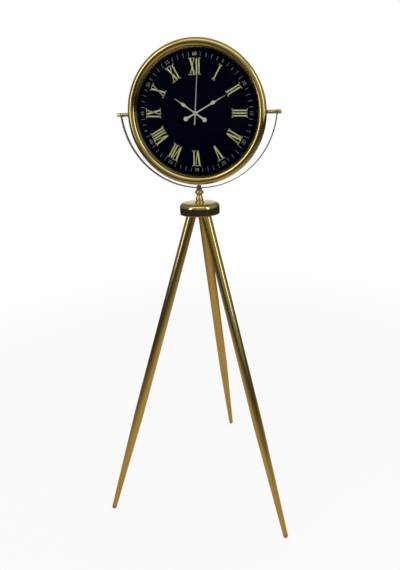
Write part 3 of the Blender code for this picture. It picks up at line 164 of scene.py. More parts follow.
def soft_lamp(name, place, width, height, radiance, in_metal=True):
    """A rectangular soft box at a place, facing the middle of the clock, which metal may show."""
    lamp = bpy.data.objects.new(name, bpy.data.lights.new(name, "AREA"))
    lamp.data.shape = "RECTANGLE"
    lamp.data.size, lamp.data.size_y = width, height
    lamp.data.energy = radiance * pi * width * height
    lamp.visible_glossy = in_metal
    lamp.visible_transmission = False
    bpy.context.scene.collection.objects.link(lamp)
    aim = Vector(lamp_target) - Vector(place)
    lamp.location = place
    lamp.rotation_mode = "QUATERNION"
    lamp.rotation_quaternion = aim.to_track_quat("-Z", "Y")


soft_lamp("window_left", (-1.45, -1.80, 1.75), width=0.55, height=2.0, radiance=2.9)
soft_lamp("window_right", (1.95, -0.95, 1.75), width=0.50, height=2.0, radiance=2.8)
soft_lamp("box_in_front", (-0.3, -2.3, 2.9), width=2.0, height=2.0, radiance=0.95, in_metal=False)
soft_lamp("box_overhead", (0.1, -1.3, 3.0), width=2.4, height=1.2, radiance=0.85)
soft_lamp("box_above", (0.3, 0.4, 3.2), width=1.6, height=1.6, radiance=2.2, in_metal=False)

# Floor
# The white sweep where it lies on the ground. The camera sees it fade to plain white, and it keeps
# the soft shadow of the clock. The brass shows it warm by the feet and dim further off.
floor_colour, floor_in_metal = (0.95, 0.95, 0.94, 1.0), (0.60, 0.46, 0.26, 1.0)
floor_in_shade, floor_far_off = (0.20, 0.175, 0.13, 1.0), (0.070, 0.068, 0.066, 1.0)
metal_near, metal_far, shade_near, shade_far = 0.30, 1.50, 1.5, 3.6
floor_size, floor_near, floor_far, floor_lit_share = 30.0, 0.7, 2.2, 0.84
floor_mesh = bpy.data.meshes.new("floor")
shape = bmesh.new()
bmesh.ops.create_grid(shape, x_segments=2, y_segments=2, size=floor_size)
shape.to_mesh(floor_mesh)
shape.free()
floor = bpy.data.objects.new("floor", floor_mesh)
bpy.context.scene.collection.objects.link(floor)
paper = bpy.data.materials.new("floor_paper")
paper.use_nodes = True
nodes, link = paper.node_tree.nodes, paper.node_tree.links.new
shader = nodes["Principled BSDF"]
shader.inputs["Roughness"].default_value = 1.0
shader.inputs["Specular IOR Level"].default_value = 0.0
rays = nodes.new("ShaderNodeLightPath")
glow = nodes.new("ShaderNodeEmission")
place = nodes.new("ShaderNodeTexCoord")
distance = nodes.new("ShaderNodeVectorMath")
distance.operation = "LENGTH"
link(place.outputs["Object"], distance.inputs[0])
away_from_feet = ramp(nodes, link, distance.outputs["Value"], metal_near, metal_far)
far_off = ramp(nodes, link, distance.outputs["Value"], shade_near, shade_far)
shaded_floor = blend_colours(nodes, link, far_off, floor_in_shade, floor_far_off)
mirrored_floor = blend_colours(nodes, link, away_from_feet, floor_in_metal, shaded_floor)
link(blend_colours(nodes, link, rays.outputs["Is Glossy Ray"], floor_colour, mirrored_floor),
     shader.inputs["Base Color"])
share = nodes.new("ShaderNodeMath")
share.operation = "MULTIPLY"
link(ramp(nodes, link, distance.outputs["Value"], floor_near, floor_far, floor_lit_share), share.inputs[0])
link(rays.outputs["Is Camera Ray"], share.inputs[1])
either = nodes.new("ShaderNodeMixShader")
link(share.outputs["Value"], either.inputs["Fac"])
link(shader.outputs["BSDF"], either.inputs[1])
link(glow.outputs["Emission"], either.inputs[2])
link(either.outputs["Shader"], nodes["Material Output"].inputs["Surface"])
floor_mesh.materials.append(paper)

# Legs
# Three brass tubes, one inch across, tapered over the lower third and lacquered. Each one screws
# on its plug into the block under the hub and leans out to its foot.
leg_radius, leg_wall, leg_tip_radius, leg_steps = 0.0127, 0.0012, 0.00635, 64
leg_top_radius, leg_top_height, foot_radius, foot_flat_radius = 0.0201, 0.832, 0.2786, 0.0026
leg_taper_share, leg_shading_ring = 0.66, 0.02
hub_axis_y = frame["joints"][0]["pos_m"][1]
foot_ball_height = (leg_tip_radius ** 2 - foot_flat_radius ** 2) ** 0.5
leg_run = foot_radius - leg_top_radius
leg_drop = leg_top_height - foot_ball_height
leg_length = hypot(leg_run, leg_drop)
leg_lean = asin(leg_run / leg_length)
leg_taper = -leg_length * leg_taper_share
leg_seat = -leg_length + leg_tip_radius / 2
brass_colour, brass_dark = (0.73, 0.56, 0.22, 1.0), (0.58, 0.43, 0.14, 1.0)
patch_start, patch_end = 0.35, 0.68
grit_scale, bump_depth = 1400.0, 0.0002
weld_distance = 0.000001


def node_group(name, inputs, outputs):
    """An empty shader group with number and colour sockets, its input node and its output node."""
    group = bpy.data.node_groups.new(name, "ShaderNodeTree")
    for label, kind, value in inputs:
        socket = group.interface.new_socket(label, in_out="INPUT", socket_type="NodeSocket" + kind)
        socket.default_value = value
    for label, kind in outputs:
        group.interface.new_socket(label, in_out="OUTPUT", socket_type="NodeSocket" + kind)
    return group, group.nodes.new("NodeGroupInput"), group.nodes.new("NodeGroupOutput")


def tone_change_group():
    """Slow patches where a surface turns from one colour to a darker one."""
    group, given, result = node_group(
        "tone_change", [("Colour", "Color", (1, 1, 1, 1)), ("Darker Colour", "Color", (0, 0, 0, 1)),
                        ("Size", "Float", 20.0), ("Amount", "Float", 0.5)], [("Colour", "Color")])
    place = group.nodes.new("ShaderNodeTexCoord")
    patches = group.nodes.new("ShaderNodeTexNoise")
    patches.inputs["Detail"].default_value = 4.0
    spread = group.nodes.new("ShaderNodeMapRange")
    spread.inputs["From Min"].default_value = patch_start
    spread.inputs["From Max"].default_value = patch_end
    blend = group.nodes.new("ShaderNodeMix")
    blend.data_type = "RGBA"
    link = group.links.new
    link(place.outputs["Object"], patches.inputs["Vector"])
    link(given.outputs["Size"], patches.inputs["Scale"])
    link(patches.outputs["Fac"], spread.inputs["Value"])
    link(given.outputs["Amount"], spread.inputs["To Max"])
    link(spread.outputs["Result"], blend.inputs["Factor"])
    link(given.outputs["Colour"], blend.inputs["A"])
    link(given.outputs["Darker Colour"], blend.inputs["B"])
    link(blend.outputs["Result"], result.inputs["Colour"])
    return group


def handling_group():
    """Faint smears and fine grit that change how sharply a surface reflects."""
    group, given, result = node_group(
        "handling", [("Roughness", "Float", 0.3), ("Spread", "Float", 0.1), ("Size", "Float", 60.0)],
        [("Roughness", "Float"), ("Height", "Float")])
    place = group.nodes.new("ShaderNodeTexCoord")
    smears = group.nodes.new("ShaderNodeTexNoise")
    smears.inputs["Detail"].default_value = 6.0
    grit = group.nodes.new("ShaderNodeTexNoise")
    grit.inputs["Scale"].default_value = grit_scale
    wide = group.nodes.new("ShaderNodeMath")
    wide.operation = "MULTIPLY"
    total = group.nodes.new("ShaderNodeMath")
    total.operation = "ADD"
    total.use_clamp = True
    link = group.links.new
    link(place.outputs["Object"], smears.inputs["Vector"])
    link(place.outputs["Object"], grit.inputs["Vector"])
    link(given.outputs["Size"], smears.inputs["Scale"])
    link(smears.outputs["Fac"], wide.inputs[0])
    link(given.outputs["Spread"], wide.inputs[1])
    link(wide.outputs["Value"], total.inputs[0])
    link(given.outputs["Roughness"], total.inputs[1])
    link(total.outputs["Value"], result.inputs["Roughness"])
    link(grit.outputs["Fac"], result.inputs["Height"])
    return group


def turning_group():
    """Fine lines left round an axis by a lathe or a polishing wheel."""
    group, given, result = node_group("turning_lines", [("Pitch", "Float", 900.0)], [("Height", "Float")])
    place = group.nodes.new("ShaderNodeTexCoord")
    split = group.nodes.new("ShaderNodeSeparateXYZ")
    flat = group.nodes.new("ShaderNodeCombineXYZ")
    radius = group.nodes.new("ShaderNodeVectorMath")
    radius.operation = "LENGTH"
    joined = group.nodes.new("ShaderNodeCombineXYZ")
    lines = group.nodes.new("ShaderNodeTexNoise")
    lines.inputs["Detail"].default_value = 3.0
    link = group.links.new
    link(place.outputs["Object"], split.inputs["Vector"])
    link(split.outputs["X"], flat.inputs["X"])
    link(split.outputs["Y"], flat.inputs["Y"])
    link(flat.outputs["Vector"], radius.inputs[0])
    link(radius.outputs["Value"], joined.inputs["X"])
    link(split.outputs["Z"], joined.inputs["Y"])
    link(joined.outputs["Vector"], lines.inputs["Vector"])
    link(given.outputs["Pitch"], lines.inputs["Scale"])
    link(lines.outputs["Fac"], result.inputs["Height"])
    return group


tone_change, handling, turning_lines = tone_change_group(), handling_group(), turning_group()


def finish(name, colour, darker, metallic, roughness, spread, grit=0.02, lines=0.0, patches=14.0):
    """A surface with slow changes of colour, smears, fine grit and, where turned, lathe lines."""
    material = bpy.data.materials.new(name)
    material.use_nodes = True
    nodes, link = material.node_tree.nodes, material.node_tree.links.new
    shader = nodes["Principled BSDF"]
    shader.inputs["Metallic"].default_value = metallic
    tone = nodes.new("ShaderNodeGroup")
    tone.node_tree = tone_change
    tone.inputs["Colour"].default_value = colour
    tone.inputs["Darker Colour"].default_value = darker
    tone.inputs["Size"].default_value = patches
    link(tone.outputs["Colour"], shader.inputs["Base Color"])
    wear = nodes.new("ShaderNodeGroup")
    wear.node_tree = handling
    wear.inputs["Roughness"].default_value = roughness
    wear.inputs["Spread"].default_value = spread
    link(wear.outputs["Roughness"], shader.inputs["Roughness"])
    bump = nodes.new("ShaderNodeBump")
    bump.inputs["Strength"].default_value = grit
    bump.inputs["Distance"].default_value = bump_depth
    link(wear.outputs["Height"], bump.inputs["Height"])
    if lines:
        rings = nodes.new("ShaderNodeGroup")
        rings.node_tree = turning_lines
        ring_bump = nodes.new("ShaderNodeBump")
        ring_bump.inputs["Strength"].default_value = lines
        ring_bump.inputs["Distance"].default_value = bump_depth
        link(rings.outputs["Height"], ring_bump.inputs["Height"])
        link(bump.outputs["Normal"], ring_bump.inputs["Normal"])
        bump = ring_bump
    link(bump.outputs["Normal"], shader.inputs["Normal"])
    return material


def soften(bm, sharpest=35):
    """Shades every face smooth and keeps the edges that turn by more than an angle."""
    bmesh.ops.recalc_face_normals(bm, faces=bm.faces)
    for face in bm.faces:
        face.smooth = True
    for edge in bm.edges:
        edge.smooth = edge.calc_face_angle(0.0) < radians(sharpest)


def add_piece(name, bm, material, body, place, stands_for=()):
    """Turns a bmesh into a piece of the clock that rides on a body and may stand for CAD nodes."""
    mesh = bpy.data.meshes.new(name)
    bm.to_mesh(mesh)
    bm.free()
    mesh.materials.append(material)
    piece = bpy.data.objects.new(name, mesh)
    bpy.context.scene.collection.objects.link(piece)
    piece.matrix_world = place
    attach(piece, body)
    if stands_for:
        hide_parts(*stands_for)


def arc(centre, radius, start, end, steps=12):
    """Points on part of a circle, from one angle to another in degrees."""
    angles = [radians(start + (end - start) * i / steps) for i in range(steps + 1)]
    return [(centre[0] + radius * cos(a), centre[1] + radius * sin(a)) for a in angles]


def lathe(profile, steps, closed=False):
    """A bmesh turned round the Z axis from an outline of (radius, height) points."""
    bm = bmesh.new()
    points = [bm.verts.new((radius, 0.0, height)) for radius, height in profile]
    ends = points[1:] + points[:1] if closed else points[1:]
    edges = [bm.edges.new(pair) for pair in zip(points, ends)]
    bmesh.ops.spin(bm, geom=points + edges, cent=(0, 0, 0), axis=(0, 0, 1), angle=tau, steps=steps)
    bmesh.ops.remove_doubles(bm, verts=bm.verts, dist=weld_distance)
    soften(bm)
    return bm


hub_axis = Matrix.Translation((0.0, hub_axis_y, 0.0))
leg_brass = finish("leg_brass", brass_colour, brass_dark,
                   metallic=1.0, roughness=0.14, spread=0.03, grit=0.0, patches=7.0)
leg_inner = leg_radius - leg_wall
leg_outline = [(leg_radius, 0.0), (leg_radius, leg_taper + leg_shading_ring), (leg_radius, leg_taper),
               (leg_tip_radius, leg_seat), (leg_tip_radius - leg_wall, leg_seat), (leg_inner, leg_taper),
               (leg_inner, 0.0)]
leg_places = {}
for side, bearing in (("back", 90), ("left", 210), ("right", 330)):
    turn = radians(bearing)
    top = Matrix.Translation((leg_top_radius * cos(turn), leg_top_radius * sin(turn), leg_top_height))
    leg_places[side] = hub_axis @ top @ Matrix.Rotation(turn, 4, "Z") @ Matrix.Rotation(-leg_lean, 4, "Y")
    tube = lathe(leg_outline, leg_steps, closed=True)
    add_piece("leg_" + side, tube, leg_brass, "tripod", leg_places[side],
              ["leg_tube_" + side])

# Feet
# A rounded brass tip pressed into the end of each leg, worn to a small flat where it stands.
foot_spigot_length, fit_gap = 0.014, 0.0003
foot_brass = finish("foot_brass", (0.58, 0.43, 0.17, 1.0), (0.40, 0.28, 0.10, 1.0),
                    metallic=1.0, roughness=0.26, spread=0.16)
spigot = leg_tip_radius - leg_wall - fit_gap
spigot_end, shoulder = leg_seat + foot_spigot_length, leg_seat - fit_gap
foot_outline = ([(0.0, spigot_end), (spigot, spigot_end), (spigot, shoulder), (leg_tip_radius, shoulder)]
                + arc((0.0, -leg_length), leg_tip_radius, 0, -90))
for side, place in leg_places.items():
    tip = lathe(foot_outline, leg_steps)
    upright = place.inverted()
    floor_point = upright @ Vector((0.0, 0.0, 0.0))
    floor_normal = upright.to_3x3() @ Vector((0.0, 0.0, 1.0))
    whole = tip.verts[:] + tip.edges[:] + tip.faces[:]
    cut = bmesh.ops.bisect_plane(tip, geom=whole, plane_co=floor_point, plane_no=floor_normal,
                                 clear_inner=True)
    edges = [item for item in cut["geom_cut"] if isinstance(item, bmesh.types.BMEdge)]
    bmesh.ops.edgeloop_fill(tip, edges=edges)
    soften(tip)
    add_piece("foot_" + side, tip, foot_brass, "tripod", place, ["foot_tip_" + side])

# Leg plugs, hub block and tie rod
# Zinc plated steel, out of sight: a plug with a stud in each leg, the block that the studs screw
# into, and the rod with its washer and nut that clamps hub, stem and yoke together.
zinc = finish("zinc_plate", (0.62, 0.62, 0.60, 1.0), (0.46, 0.47, 0.48, 1.0),
              metallic=1.0, roughness=0.30, spread=0.18, grit=0.06)


def refinish(material, *names):
    """Gives CAD nodes that keep their shape a better material."""
    for name in names:
        mesh = frame["nodes"][name].data
        mesh.materials.clear()
        mesh.materials.append(material)


refinish(zinc, "leg_plug_back", "leg_plug_left", "leg_plug_right", "hub_block", "hub_washer", "hub_nut",
         "tie_rod")

# Hub
# A spun brass cap with a rounded shoulder and an open underside, which hides the block. An extra
# ring of points near its rim keeps the shading of the wall level.
hub_radius, hub_rim, hub_height, hub_wall = 0.0518, 0.8268, 0.0294, 0.0015
hub_shoulder, hub_crown_drop, hub_seat_radius, rod_hole = 0.0110, 0.0003, 0.0115, 0.0033
hub_brass = finish("hub_brass", (0.76, 0.60, 0.27, 1.0), brass_dark,
                   metallic=1.0, roughness=0.07, spread=0.08, grit=0.0, patches=22.0)
hub_top = hub_rim + hub_height
shoulder_middle = (hub_radius - hub_shoulder, hub_top - hub_crown_drop - hub_shoulder)
hub_under = hub_top - hub_wall
hub_outline = ([(rod_hole, hub_top), (hub_seat_radius, hub_top)]
               + arc(shoulder_middle, hub_shoulder, 90, 0, steps=16)
               + [(hub_radius, hub_rim + 2 * hub_wall), (hub_radius, hub_rim + hub_wall / 2),
                  (hub_radius - hub_wall / 4, hub_rim), (hub_radius - hub_wall, hub_rim)]
               + arc(shoulder_middle, hub_shoulder - hub_wall, 0, 90, steps=10)
               + [(hub_seat_radius, hub_under), (rod_hole, hub_under)])
cap = lathe(hub_outline, steps=128, closed=True)
add_piece("hub", cap, hub_brass, "tripod", hub_axis, ["hub_cap"])

# Stem
# A small baluster turned from brass bar and clamped on the tie rod. From below it has a flanged
# foot, a groove, a bell, a neck, a ball and a top collar.
stem_top_radius, stem_top_height, stem_edge = 0.0068, 0.0024, 0.0004
stem_ball_radius, stem_ball_half, stem_neck_radius, stem_neck_height = 0.0113, 0.0070, 0.0070, 0.0190
stem_bell_radius, stem_bell_height, stem_groove_radius, stem_groove_height = 0.0099, 0.0075, 0.0088, 0.0040
stem_flange_radius, stem_flange_height, stem_ball_reach = 0.0122, 0.0012, 52
stem_base, stem_top = hub_top + fit_gap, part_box("stem")[1].z
ball_middle = stem_top - stem_top_height - stem_ball_half
ball = [(r, ball_middle + z * stem_ball_half / stem_ball_radius)
        for r, z in arc((0.0, 0.0), stem_ball_radius, stem_ball_reach, -stem_ball_reach, steps=20)]


def swelling(low, low_radius, high, high_radius, steps=8):
    """A smooth S curve between two heights of a turned piece."""
    points = []
    for i in range(steps + 1):
        share = (1 - cos(pi * i / steps)) / 2
        points.append((low_radius + (high_radius - low_radius) * share, low + (high - low) * i / steps))
    return points


neck, bell = stem_base + stem_neck_height, stem_base + stem_bell_height
groove, flange = stem_base + stem_groove_height, stem_base + stem_flange_height
stem_outline = ([(rod_hole, stem_top), (stem_top_radius - stem_edge, stem_top),
                 (stem_top_radius, stem_top - stem_edge), (stem_top_radius, stem_top - stem_top_height)]
                + ball + swelling(bell, stem_bell_radius, neck, stem_neck_radius)[::-1]
                + swelling(groove, stem_groove_radius, bell, stem_bell_radius)[-2::-1]
                + swelling(flange, stem_flange_radius, groove, stem_groove_radius)[-2::-1]
                + [(stem_flange_radius, stem_base), (rod_hole, stem_base)])
baluster = lathe(stem_outline, steps=72, closed=True)
add_piece("stem_turned", baluster, hub_brass, "tripod", hub_axis, ["stem"])

# Yoke
# A narrow brass strip bent to a bow under the head with a round eye at each end. It turns on the
# tie rod between a fibre washer and a brass nut.
yoke_drop, yoke_half_span, yoke_width, yoke_thickness = 0.1884, 0.2042, 0.0090, 0.002
yoke_edge, yoke_corner, eye_tip, eye_steps, bow_steps = 0.0003, 60, 0.0004, 12, 120
pivot_height = frame["joints"][1]["pos_m"][2]
head_place = Matrix.Translation((0.0, hub_axis_y, pivot_height)) @ Matrix.Rotation(pi / 2, 4, "X")
yoke_rise = (yoke_half_span ** 2 - yoke_drop ** 2) / (2 * yoke_drop)
yoke_bend = yoke_drop + yoke_rise
yoke_start = asin((yoke_rise + yoke_width) / yoke_bend)
eye_radius = yoke_width / 2
yoke_brass = finish("yoke_brass", (0.42, 0.39, 0.31, 1.0), (0.30, 0.27, 0.20, 1.0),
                    metallic=1.0, roughness=0.28, spread=0.14)
eye = [(-yoke_half_span, eye_radius * cos(pi / 2 * i / eye_steps)) for i in range(eye_steps + 1)]
eye += [(-yoke_half_span, -eye_radius * share) for share in (1 / 3, 2 / 3)]
bow = []
for i in range(bow_steps + 1):
    angle = pi + yoke_start + (pi - 2 * yoke_start) * i / bow_steps
    bow.append((yoke_bend * cos(angle), yoke_rise + yoke_bend * sin(angle)))
path = eye + bow + [(-x, y) for x, y in reversed(eye)]
bm = bmesh.new()
rings = []
for i, (x, y) in enumerate(path):
    before, after = path[max(i - 1, 0)], path[min(i + 1, len(path) - 1)]
    length = hypot(after[0] - before[0], after[1] - before[1])
    normal = ((after[1] - before[1]) / length, -(after[0] - before[0]) / length)
    half_width = eye_radius if y < 0 else max((eye_radius - y) * (eye_radius + y), eye_tip ** 2) ** 0.5
    ring = []
    for side, across in ((1, -1), (1, 1), (-1, 1), (-1, -1)):
        offset = side * yoke_thickness / 2
        ring.append(bm.verts.new((x + normal[0] * offset, y + normal[1] * offset, across * half_width)))
    rings.append(ring)
for first, second in zip(rings, rings[1:]):
    for j in range(4):
        bm.faces.new((first[j], first[(j + 1) % 4], second[(j + 1) % 4], second[j]))
bm.faces.new(rings[0])
bm.faces.new(rings[-1])
bmesh.ops.recalc_face_normals(bm, faces=bm.faces)
long_edges = [edge for edge in bm.edges if edge.calc_face_angle(0.0) > radians(yoke_corner)]
bmesh.ops.bevel(bm, geom=long_edges, offset=yoke_edge, segments=2, affect="EDGES", clamp_overlap=True)
soften(bm)
add_piece("yoke_bow", bm, yoke_brass, "yoke", head_place, ["yoke_strip"])

fibre = finish("pressed_fibre", (0.25, 0.13, 0.07, 1.0), (0.14, 0.07, 0.04, 1.0),
               metallic=0.0, roughness=0.7, spread=0.2, grit=0.3)
refinish(fibre, "yoke_washer", "pivot_washer_left", "pivot_washer_right")
refinish(foot_brass, "yoke_nut")

# Pivots
# On each side a beaded brass sleeve goes through the case wall, held by a nut inside. A knurled
# thumb screw goes through the eye of the strip and into the sleeve, and is let go to tilt the head.
case_radius, sleeve_radius, sleeve_waist, sleeve_beads = 0.1762, 0.0050, 0.0040, 4
bead_steps, sleeve_stub, sleeve_stub_length, washer_thickness = 8, 0.0035, 0.0062, 0.0008
screw_radius, screw_length, flute_share = 0.0025, 0.016, 0.94
knob_radius, knob_length, knob_edge, knob_flutes = 0.0050, 0.0090, 0.0008, 22
knob_steps = 4 * knob_flutes
pivot_brass = finish("pivot_brass", (0.70, 0.56, 0.26, 1.0), brass_dark,
                     metallic=1.0, roughness=0.08, spread=0.10, grit=0.0, patches=60.0)
sleeve_start = case_radius + fit_gap
sleeve_end = yoke_half_span - yoke_thickness / 2 - 2 * fit_gap - washer_thickness
knob_seat = yoke_half_span + yoke_thickness / 2 + fit_gap
bead = (sleeve_end - sleeve_start) / (sleeve_beads + 1)
beads = []
for i in range(sleeve_beads):
    bead_top = sleeve_end - bead / 2 - i * bead
    for j in range(bead_steps + 1):
        swell = (sleeve_radius - sleeve_waist) * sin(pi * j / bead_steps)
        beads.append((sleeve_waist + swell, bead_top - bead * j / bead_steps))
bore, end_ring, stub_end = screw_radius + fit_gap, bead * 3 / 8, sleeve_start - sleeve_stub_length
sleeve_outline = ([(bore, sleeve_end), (sleeve_radius, sleeve_end), (sleeve_radius, sleeve_end - end_ring)]
                  + beads + [(sleeve_radius, sleeve_start + end_ring), (sleeve_radius, sleeve_start),
                             (sleeve_stub, sleeve_start), (sleeve_stub, stub_end), (bore, stub_end)])
knob_face = knob_radius - knob_edge
knob_outline = [(0.0, knob_length), (knob_face, knob_length), (knob_radius, knob_length - knob_edge),
                (knob_radius, knob_edge), (knob_face, 0.0), (screw_radius, 0.0),
                (screw_radius, -screw_length), (0.0, -screw_length)]
for side, turn in (("left", -pi / 2), ("right", pi / 2)):
    sideways = head_place @ Matrix.Rotation(turn, 4, "Y")
    sleeve = lathe(sleeve_outline, steps=48, closed=True)
    add_piece("sleeve_" + side, sleeve, pivot_brass, "head", sideways,
              ["pivot_sleeve_" + side])
    knob = lathe(knob_outline, knob_steps)
    for vertex in knob.verts:
        if hypot(vertex.co.x, vertex.co.y) > knob_radius - knob_edge / 2:
            step = round(knob_steps * (pi + atan2(vertex.co.y, vertex.co.x)) / tau)
            if step % 4 < 2:
                vertex.co.x *= flute_share
                vertex.co.y *= flute_share
    soften(knob, sharpest=20)
    add_piece("thumb_screw_" + side, knob, pivot_brass, "knob_" + side,
              sideways @ Matrix.Translation((0, 0, knob_seat)), ["knob_" + side])
refinish(zinc, "pivot_nut_left", "pivot_nut_right")

# Case and bezel
# A deep drawn brass drum, and the bezel rolled from sheet, which slips over it with a skirt. From
# the skirt a sloping flank rises to a broad rounded crown, which ends at the glass.
bezel_radius, bezel_inner, glass_front, glass_back = 0.1793, 0.1605, 0.0140, 0.0115
crown_radius, crown_front, crown_inner_angle, crown_outer_angle = 0.0100, 0.0195, 150, 38
skirt_back, skirt_wall, case_depth, case_corner, case_wall = 0.0062, 0.0015, 0.025, 0.006, 0.0012
flange_radius, glass_radius, rim_steps = 0.142, 0.170, 192
case_brass = finish("case_brass", (0.46, 0.34, 0.14, 1.0), (0.26, 0.18, 0.07, 1.0),
                    metallic=1.0, roughness=0.20, spread=0.14, lines=0.03)
bezel_brass = finish("bezel_brass", brass_colour, brass_dark,
                     metallic=1.0, roughness=0.14, spread=0.04, grit=0.0, patches=10.0)
case_front = glass_back + fit_gap
back = -case_depth
corner_middle = (case_radius - case_corner, back + case_corner)
drum_outline = ([(case_radius, case_front)] + arc(corner_middle, case_corner, 0, -90)
                + [(flange_radius, back), (flange_radius, back + case_wall)]
                + arc(corner_middle, case_corner - case_wall, -90, 0)
                + [(case_radius - case_wall, case_front)])
drum = lathe(drum_outline, rim_steps, closed=True)
add_piece("case", drum, case_brass, "head", head_place, ["case_drum"])
lip, rebate = glass_front + fit_gap, glass_radius + fit_gap
under = case_front + fit_gap
crown_middle = bezel_inner - crown_radius * cos(radians(crown_inner_angle))
crown_centre = (crown_middle, crown_front - crown_radius)
crown = arc(crown_centre, crown_radius, crown_inner_angle, crown_outer_angle, steps=36)
flank_radius, flank_top = crown[-1]
flank_foot = flank_top - (bezel_radius - flank_radius) / tan(radians(crown_outer_angle))
skirt_inner = bezel_radius - skirt_wall
bezel_outline = ([(bezel_inner, lip)] + crown
                 + [(bezel_radius, flank_foot), (bezel_radius, skirt_back), (skirt_inner, skirt_back),
                    (skirt_inner, under), (rebate, under), (rebate, lip)])
ring = lathe(bezel_outline, rim_steps, closed=True)
add_piece("bezel", ring, bezel_brass, "head", head_place, ["bezel_ring"])

# Reflector ring
# A sloping ring of brass between the bezel and the dial, held down by the glass. Its darker olive
# tone is painted shade, and from its foot up to a softly fading edge it is painted near black,
# a painted dark reflection.
dial_front, dial_radius, dial_seen, ring_sheet = 0.0047, 0.168, 0.1543, 0.0008
painted_ring_shade, painted_shade_edge = (0.012, 0.013, 0.010, 1.0), 0.1550
ring_brass_painted_dark = finish("reflector_brass_painted_dark", (0.44, 0.43, 0.25, 1.0), (0.32, 0.30, 0.16, 1.0),
                    metallic=1.0, roughness=0.08, spread=0.02, grit=0.0)
nodes, link = ring_brass_painted_dark.node_tree.nodes, ring_brass_painted_dark.node_tree.links.new
place = nodes.new("ShaderNodeTexCoord")
flat = nodes.new("ShaderNodeVectorMath")
flat.operation = "MULTIPLY"
flat.inputs[1].default_value = (1.0, 1.0, 0.0)
radius = nodes.new("ShaderNodeVectorMath")
radius.operation = "LENGTH"
link(place.outputs["Object"], flat.inputs[0])
link(flat.outputs["Vector"], radius.inputs[0])
# Painted dark reflection: near black at the foot of the ring, easing into the brass tone at the bezel.
out_of_painted_shade = ramp(nodes, link, radius.outputs["Value"], painted_shade_edge, bezel_inner)
ring_tone = nodes["Principled BSDF"].inputs["Base Color"]
link(blend_colours(nodes, link, out_of_painted_shade, painted_ring_shade, ring_tone.links[0].from_socket), ring_tone)
ring_flange, ring_foot = glass_back - fit_gap, dial_front + fit_gap
cone_outline = [(dial_radius, ring_flange), (dial_radius, ring_flange - ring_sheet),
                (bezel_inner + ring_sheet / 2, ring_flange - ring_sheet), (dial_seen + ring_sheet, ring_foot),
                (dial_seen, ring_foot), (bezel_inner - ring_sheet / 2, ring_flange)]
cone = lathe(cone_outline, rim_steps, closed=True)
add_piece("reflector", cone, ring_brass_painted_dark, "head", head_place, ["reflector_ring"])
refinish(zinc, "dial_seat_ring")

# Glass
# A flat disc of clear glass in the rebate behind the bezel's crown, coated so that it mirrors
# almost nothing. Soft light and shadows pass straight through it to the dial.
glass_tint, glass_index, glass_smears = (0.97, 0.99, 0.98, 1.0), 1.02, 0.004
pane = bpy.data.materials.new("window_glass")
pane.use_nodes = True
nodes, link = pane.node_tree.nodes, pane.node_tree.links.new
shader = nodes["Principled BSDF"]
shader.inputs["Base Color"].default_value = glass_tint
shader.inputs["Transmission Weight"].default_value = 1.0
shader.inputs["IOR"].default_value = glass_index
film = nodes.new("ShaderNodeGroup")
film.node_tree = handling
film.inputs["Roughness"].default_value = 0.0
film.inputs["Spread"].default_value = glass_smears
link(film.outputs["Roughness"], shader.inputs["Roughness"])
through = nodes.new("ShaderNodeBsdfTransparent")
rays = nodes.new("ShaderNodeLightPath")
clear = nodes.new("ShaderNodeMath")
clear.operation = "MAXIMUM"
link(rays.outputs["Is Shadow Ray"], clear.inputs[0])
link(rays.outputs["Is Diffuse Ray"], clear.inputs[1])
either = nodes.new("ShaderNodeMixShader")
link(clear.outputs["Value"], either.inputs["Fac"])
link(shader.outputs["BSDF"], either.inputs[1])
link(through.outputs["BSDF"], either.inputs[2])
link(either.outputs["Shader"], nodes["Material Output"].inputs["Surface"])
disc = lathe([(0.0, glass_front), (glass_radius, glass_front), (glass_radius, glass_back),
              (0.0, glass_back)], rim_steps)
add_piece("window", disc, pane, "head", head_place, ["glass"])

# Dial
# A steel disc enamelled in a deep blue-black, with gold Roman hours, a grey minute track and small
# numbers, all screen printed and turned by a degree.
dial_gloss = 0.04
dial_black = finish("dial_enamel", (0.0002, 0.0009, 0.0058, 1.0), (0.0001, 0.0006, 0.0042, 1.0),
                    metallic=0.0, roughness=0.03, spread=0.03, grit=0.0)
dial_shader = dial_black.node_tree.nodes["Principled BSDF"]
dial_shader.inputs["Specular IOR Level"].default_value = dial_gloss
refinish(dial_black, "dial_plate")
print_height, print_lift, print_turn = 0.00012, 0.00002, radians(-1.0)
hour_inner, hour_height, hour_pitch, vee_width, ex_width = 0.0925, 0.040, 0.0064, 0.0140, 0.0150
stroke, post_share, hairline, slab, slab_overhang = 0.0042, 0.78, 0.0019, 0.0019, 0.0024
hour_gold = finish("hour_gold", (0.46, 0.45, 0.19, 1.0), (0.37, 0.35, 0.13, 1.0),
                   metallic=0.0, roughness=0.4, spread=0.2, patches=90.0)
track_grey = finish("track_grey", (0.18, 0.19, 0.165, 1.0), (0.12, 0.125, 0.11, 1.0),
                    metallic=0.0, roughness=0.5, spread=0.2, patches=90.0)


def add_slab(bm, corners, place):
    """Adds a flat printed shape, given by its corners, at a place on the dial."""
    low = [bm.verts.new(place @ Vector((x, y, 0.0))) for x, y in corners]
    base = bm.faces.new(low)
    raised = bmesh.ops.extrude_face_region(bm, geom=[base])
    top = [item for item in raised["geom"] if isinstance(item, bmesh.types.BMVert)]
    bmesh.ops.translate(bm, verts=top, vec=(0.0, 0.0, print_height))


def bar(low, high, width):
    """The four corners of a stroke between two points, cut level at both ends."""
    half = width / 2
    (low_x, low_y), (high_x, high_y) = low, high
    return [(low_x - half, low_y), (low_x + half, low_y), (high_x + half, high_y), (high_x - half, high_y)]


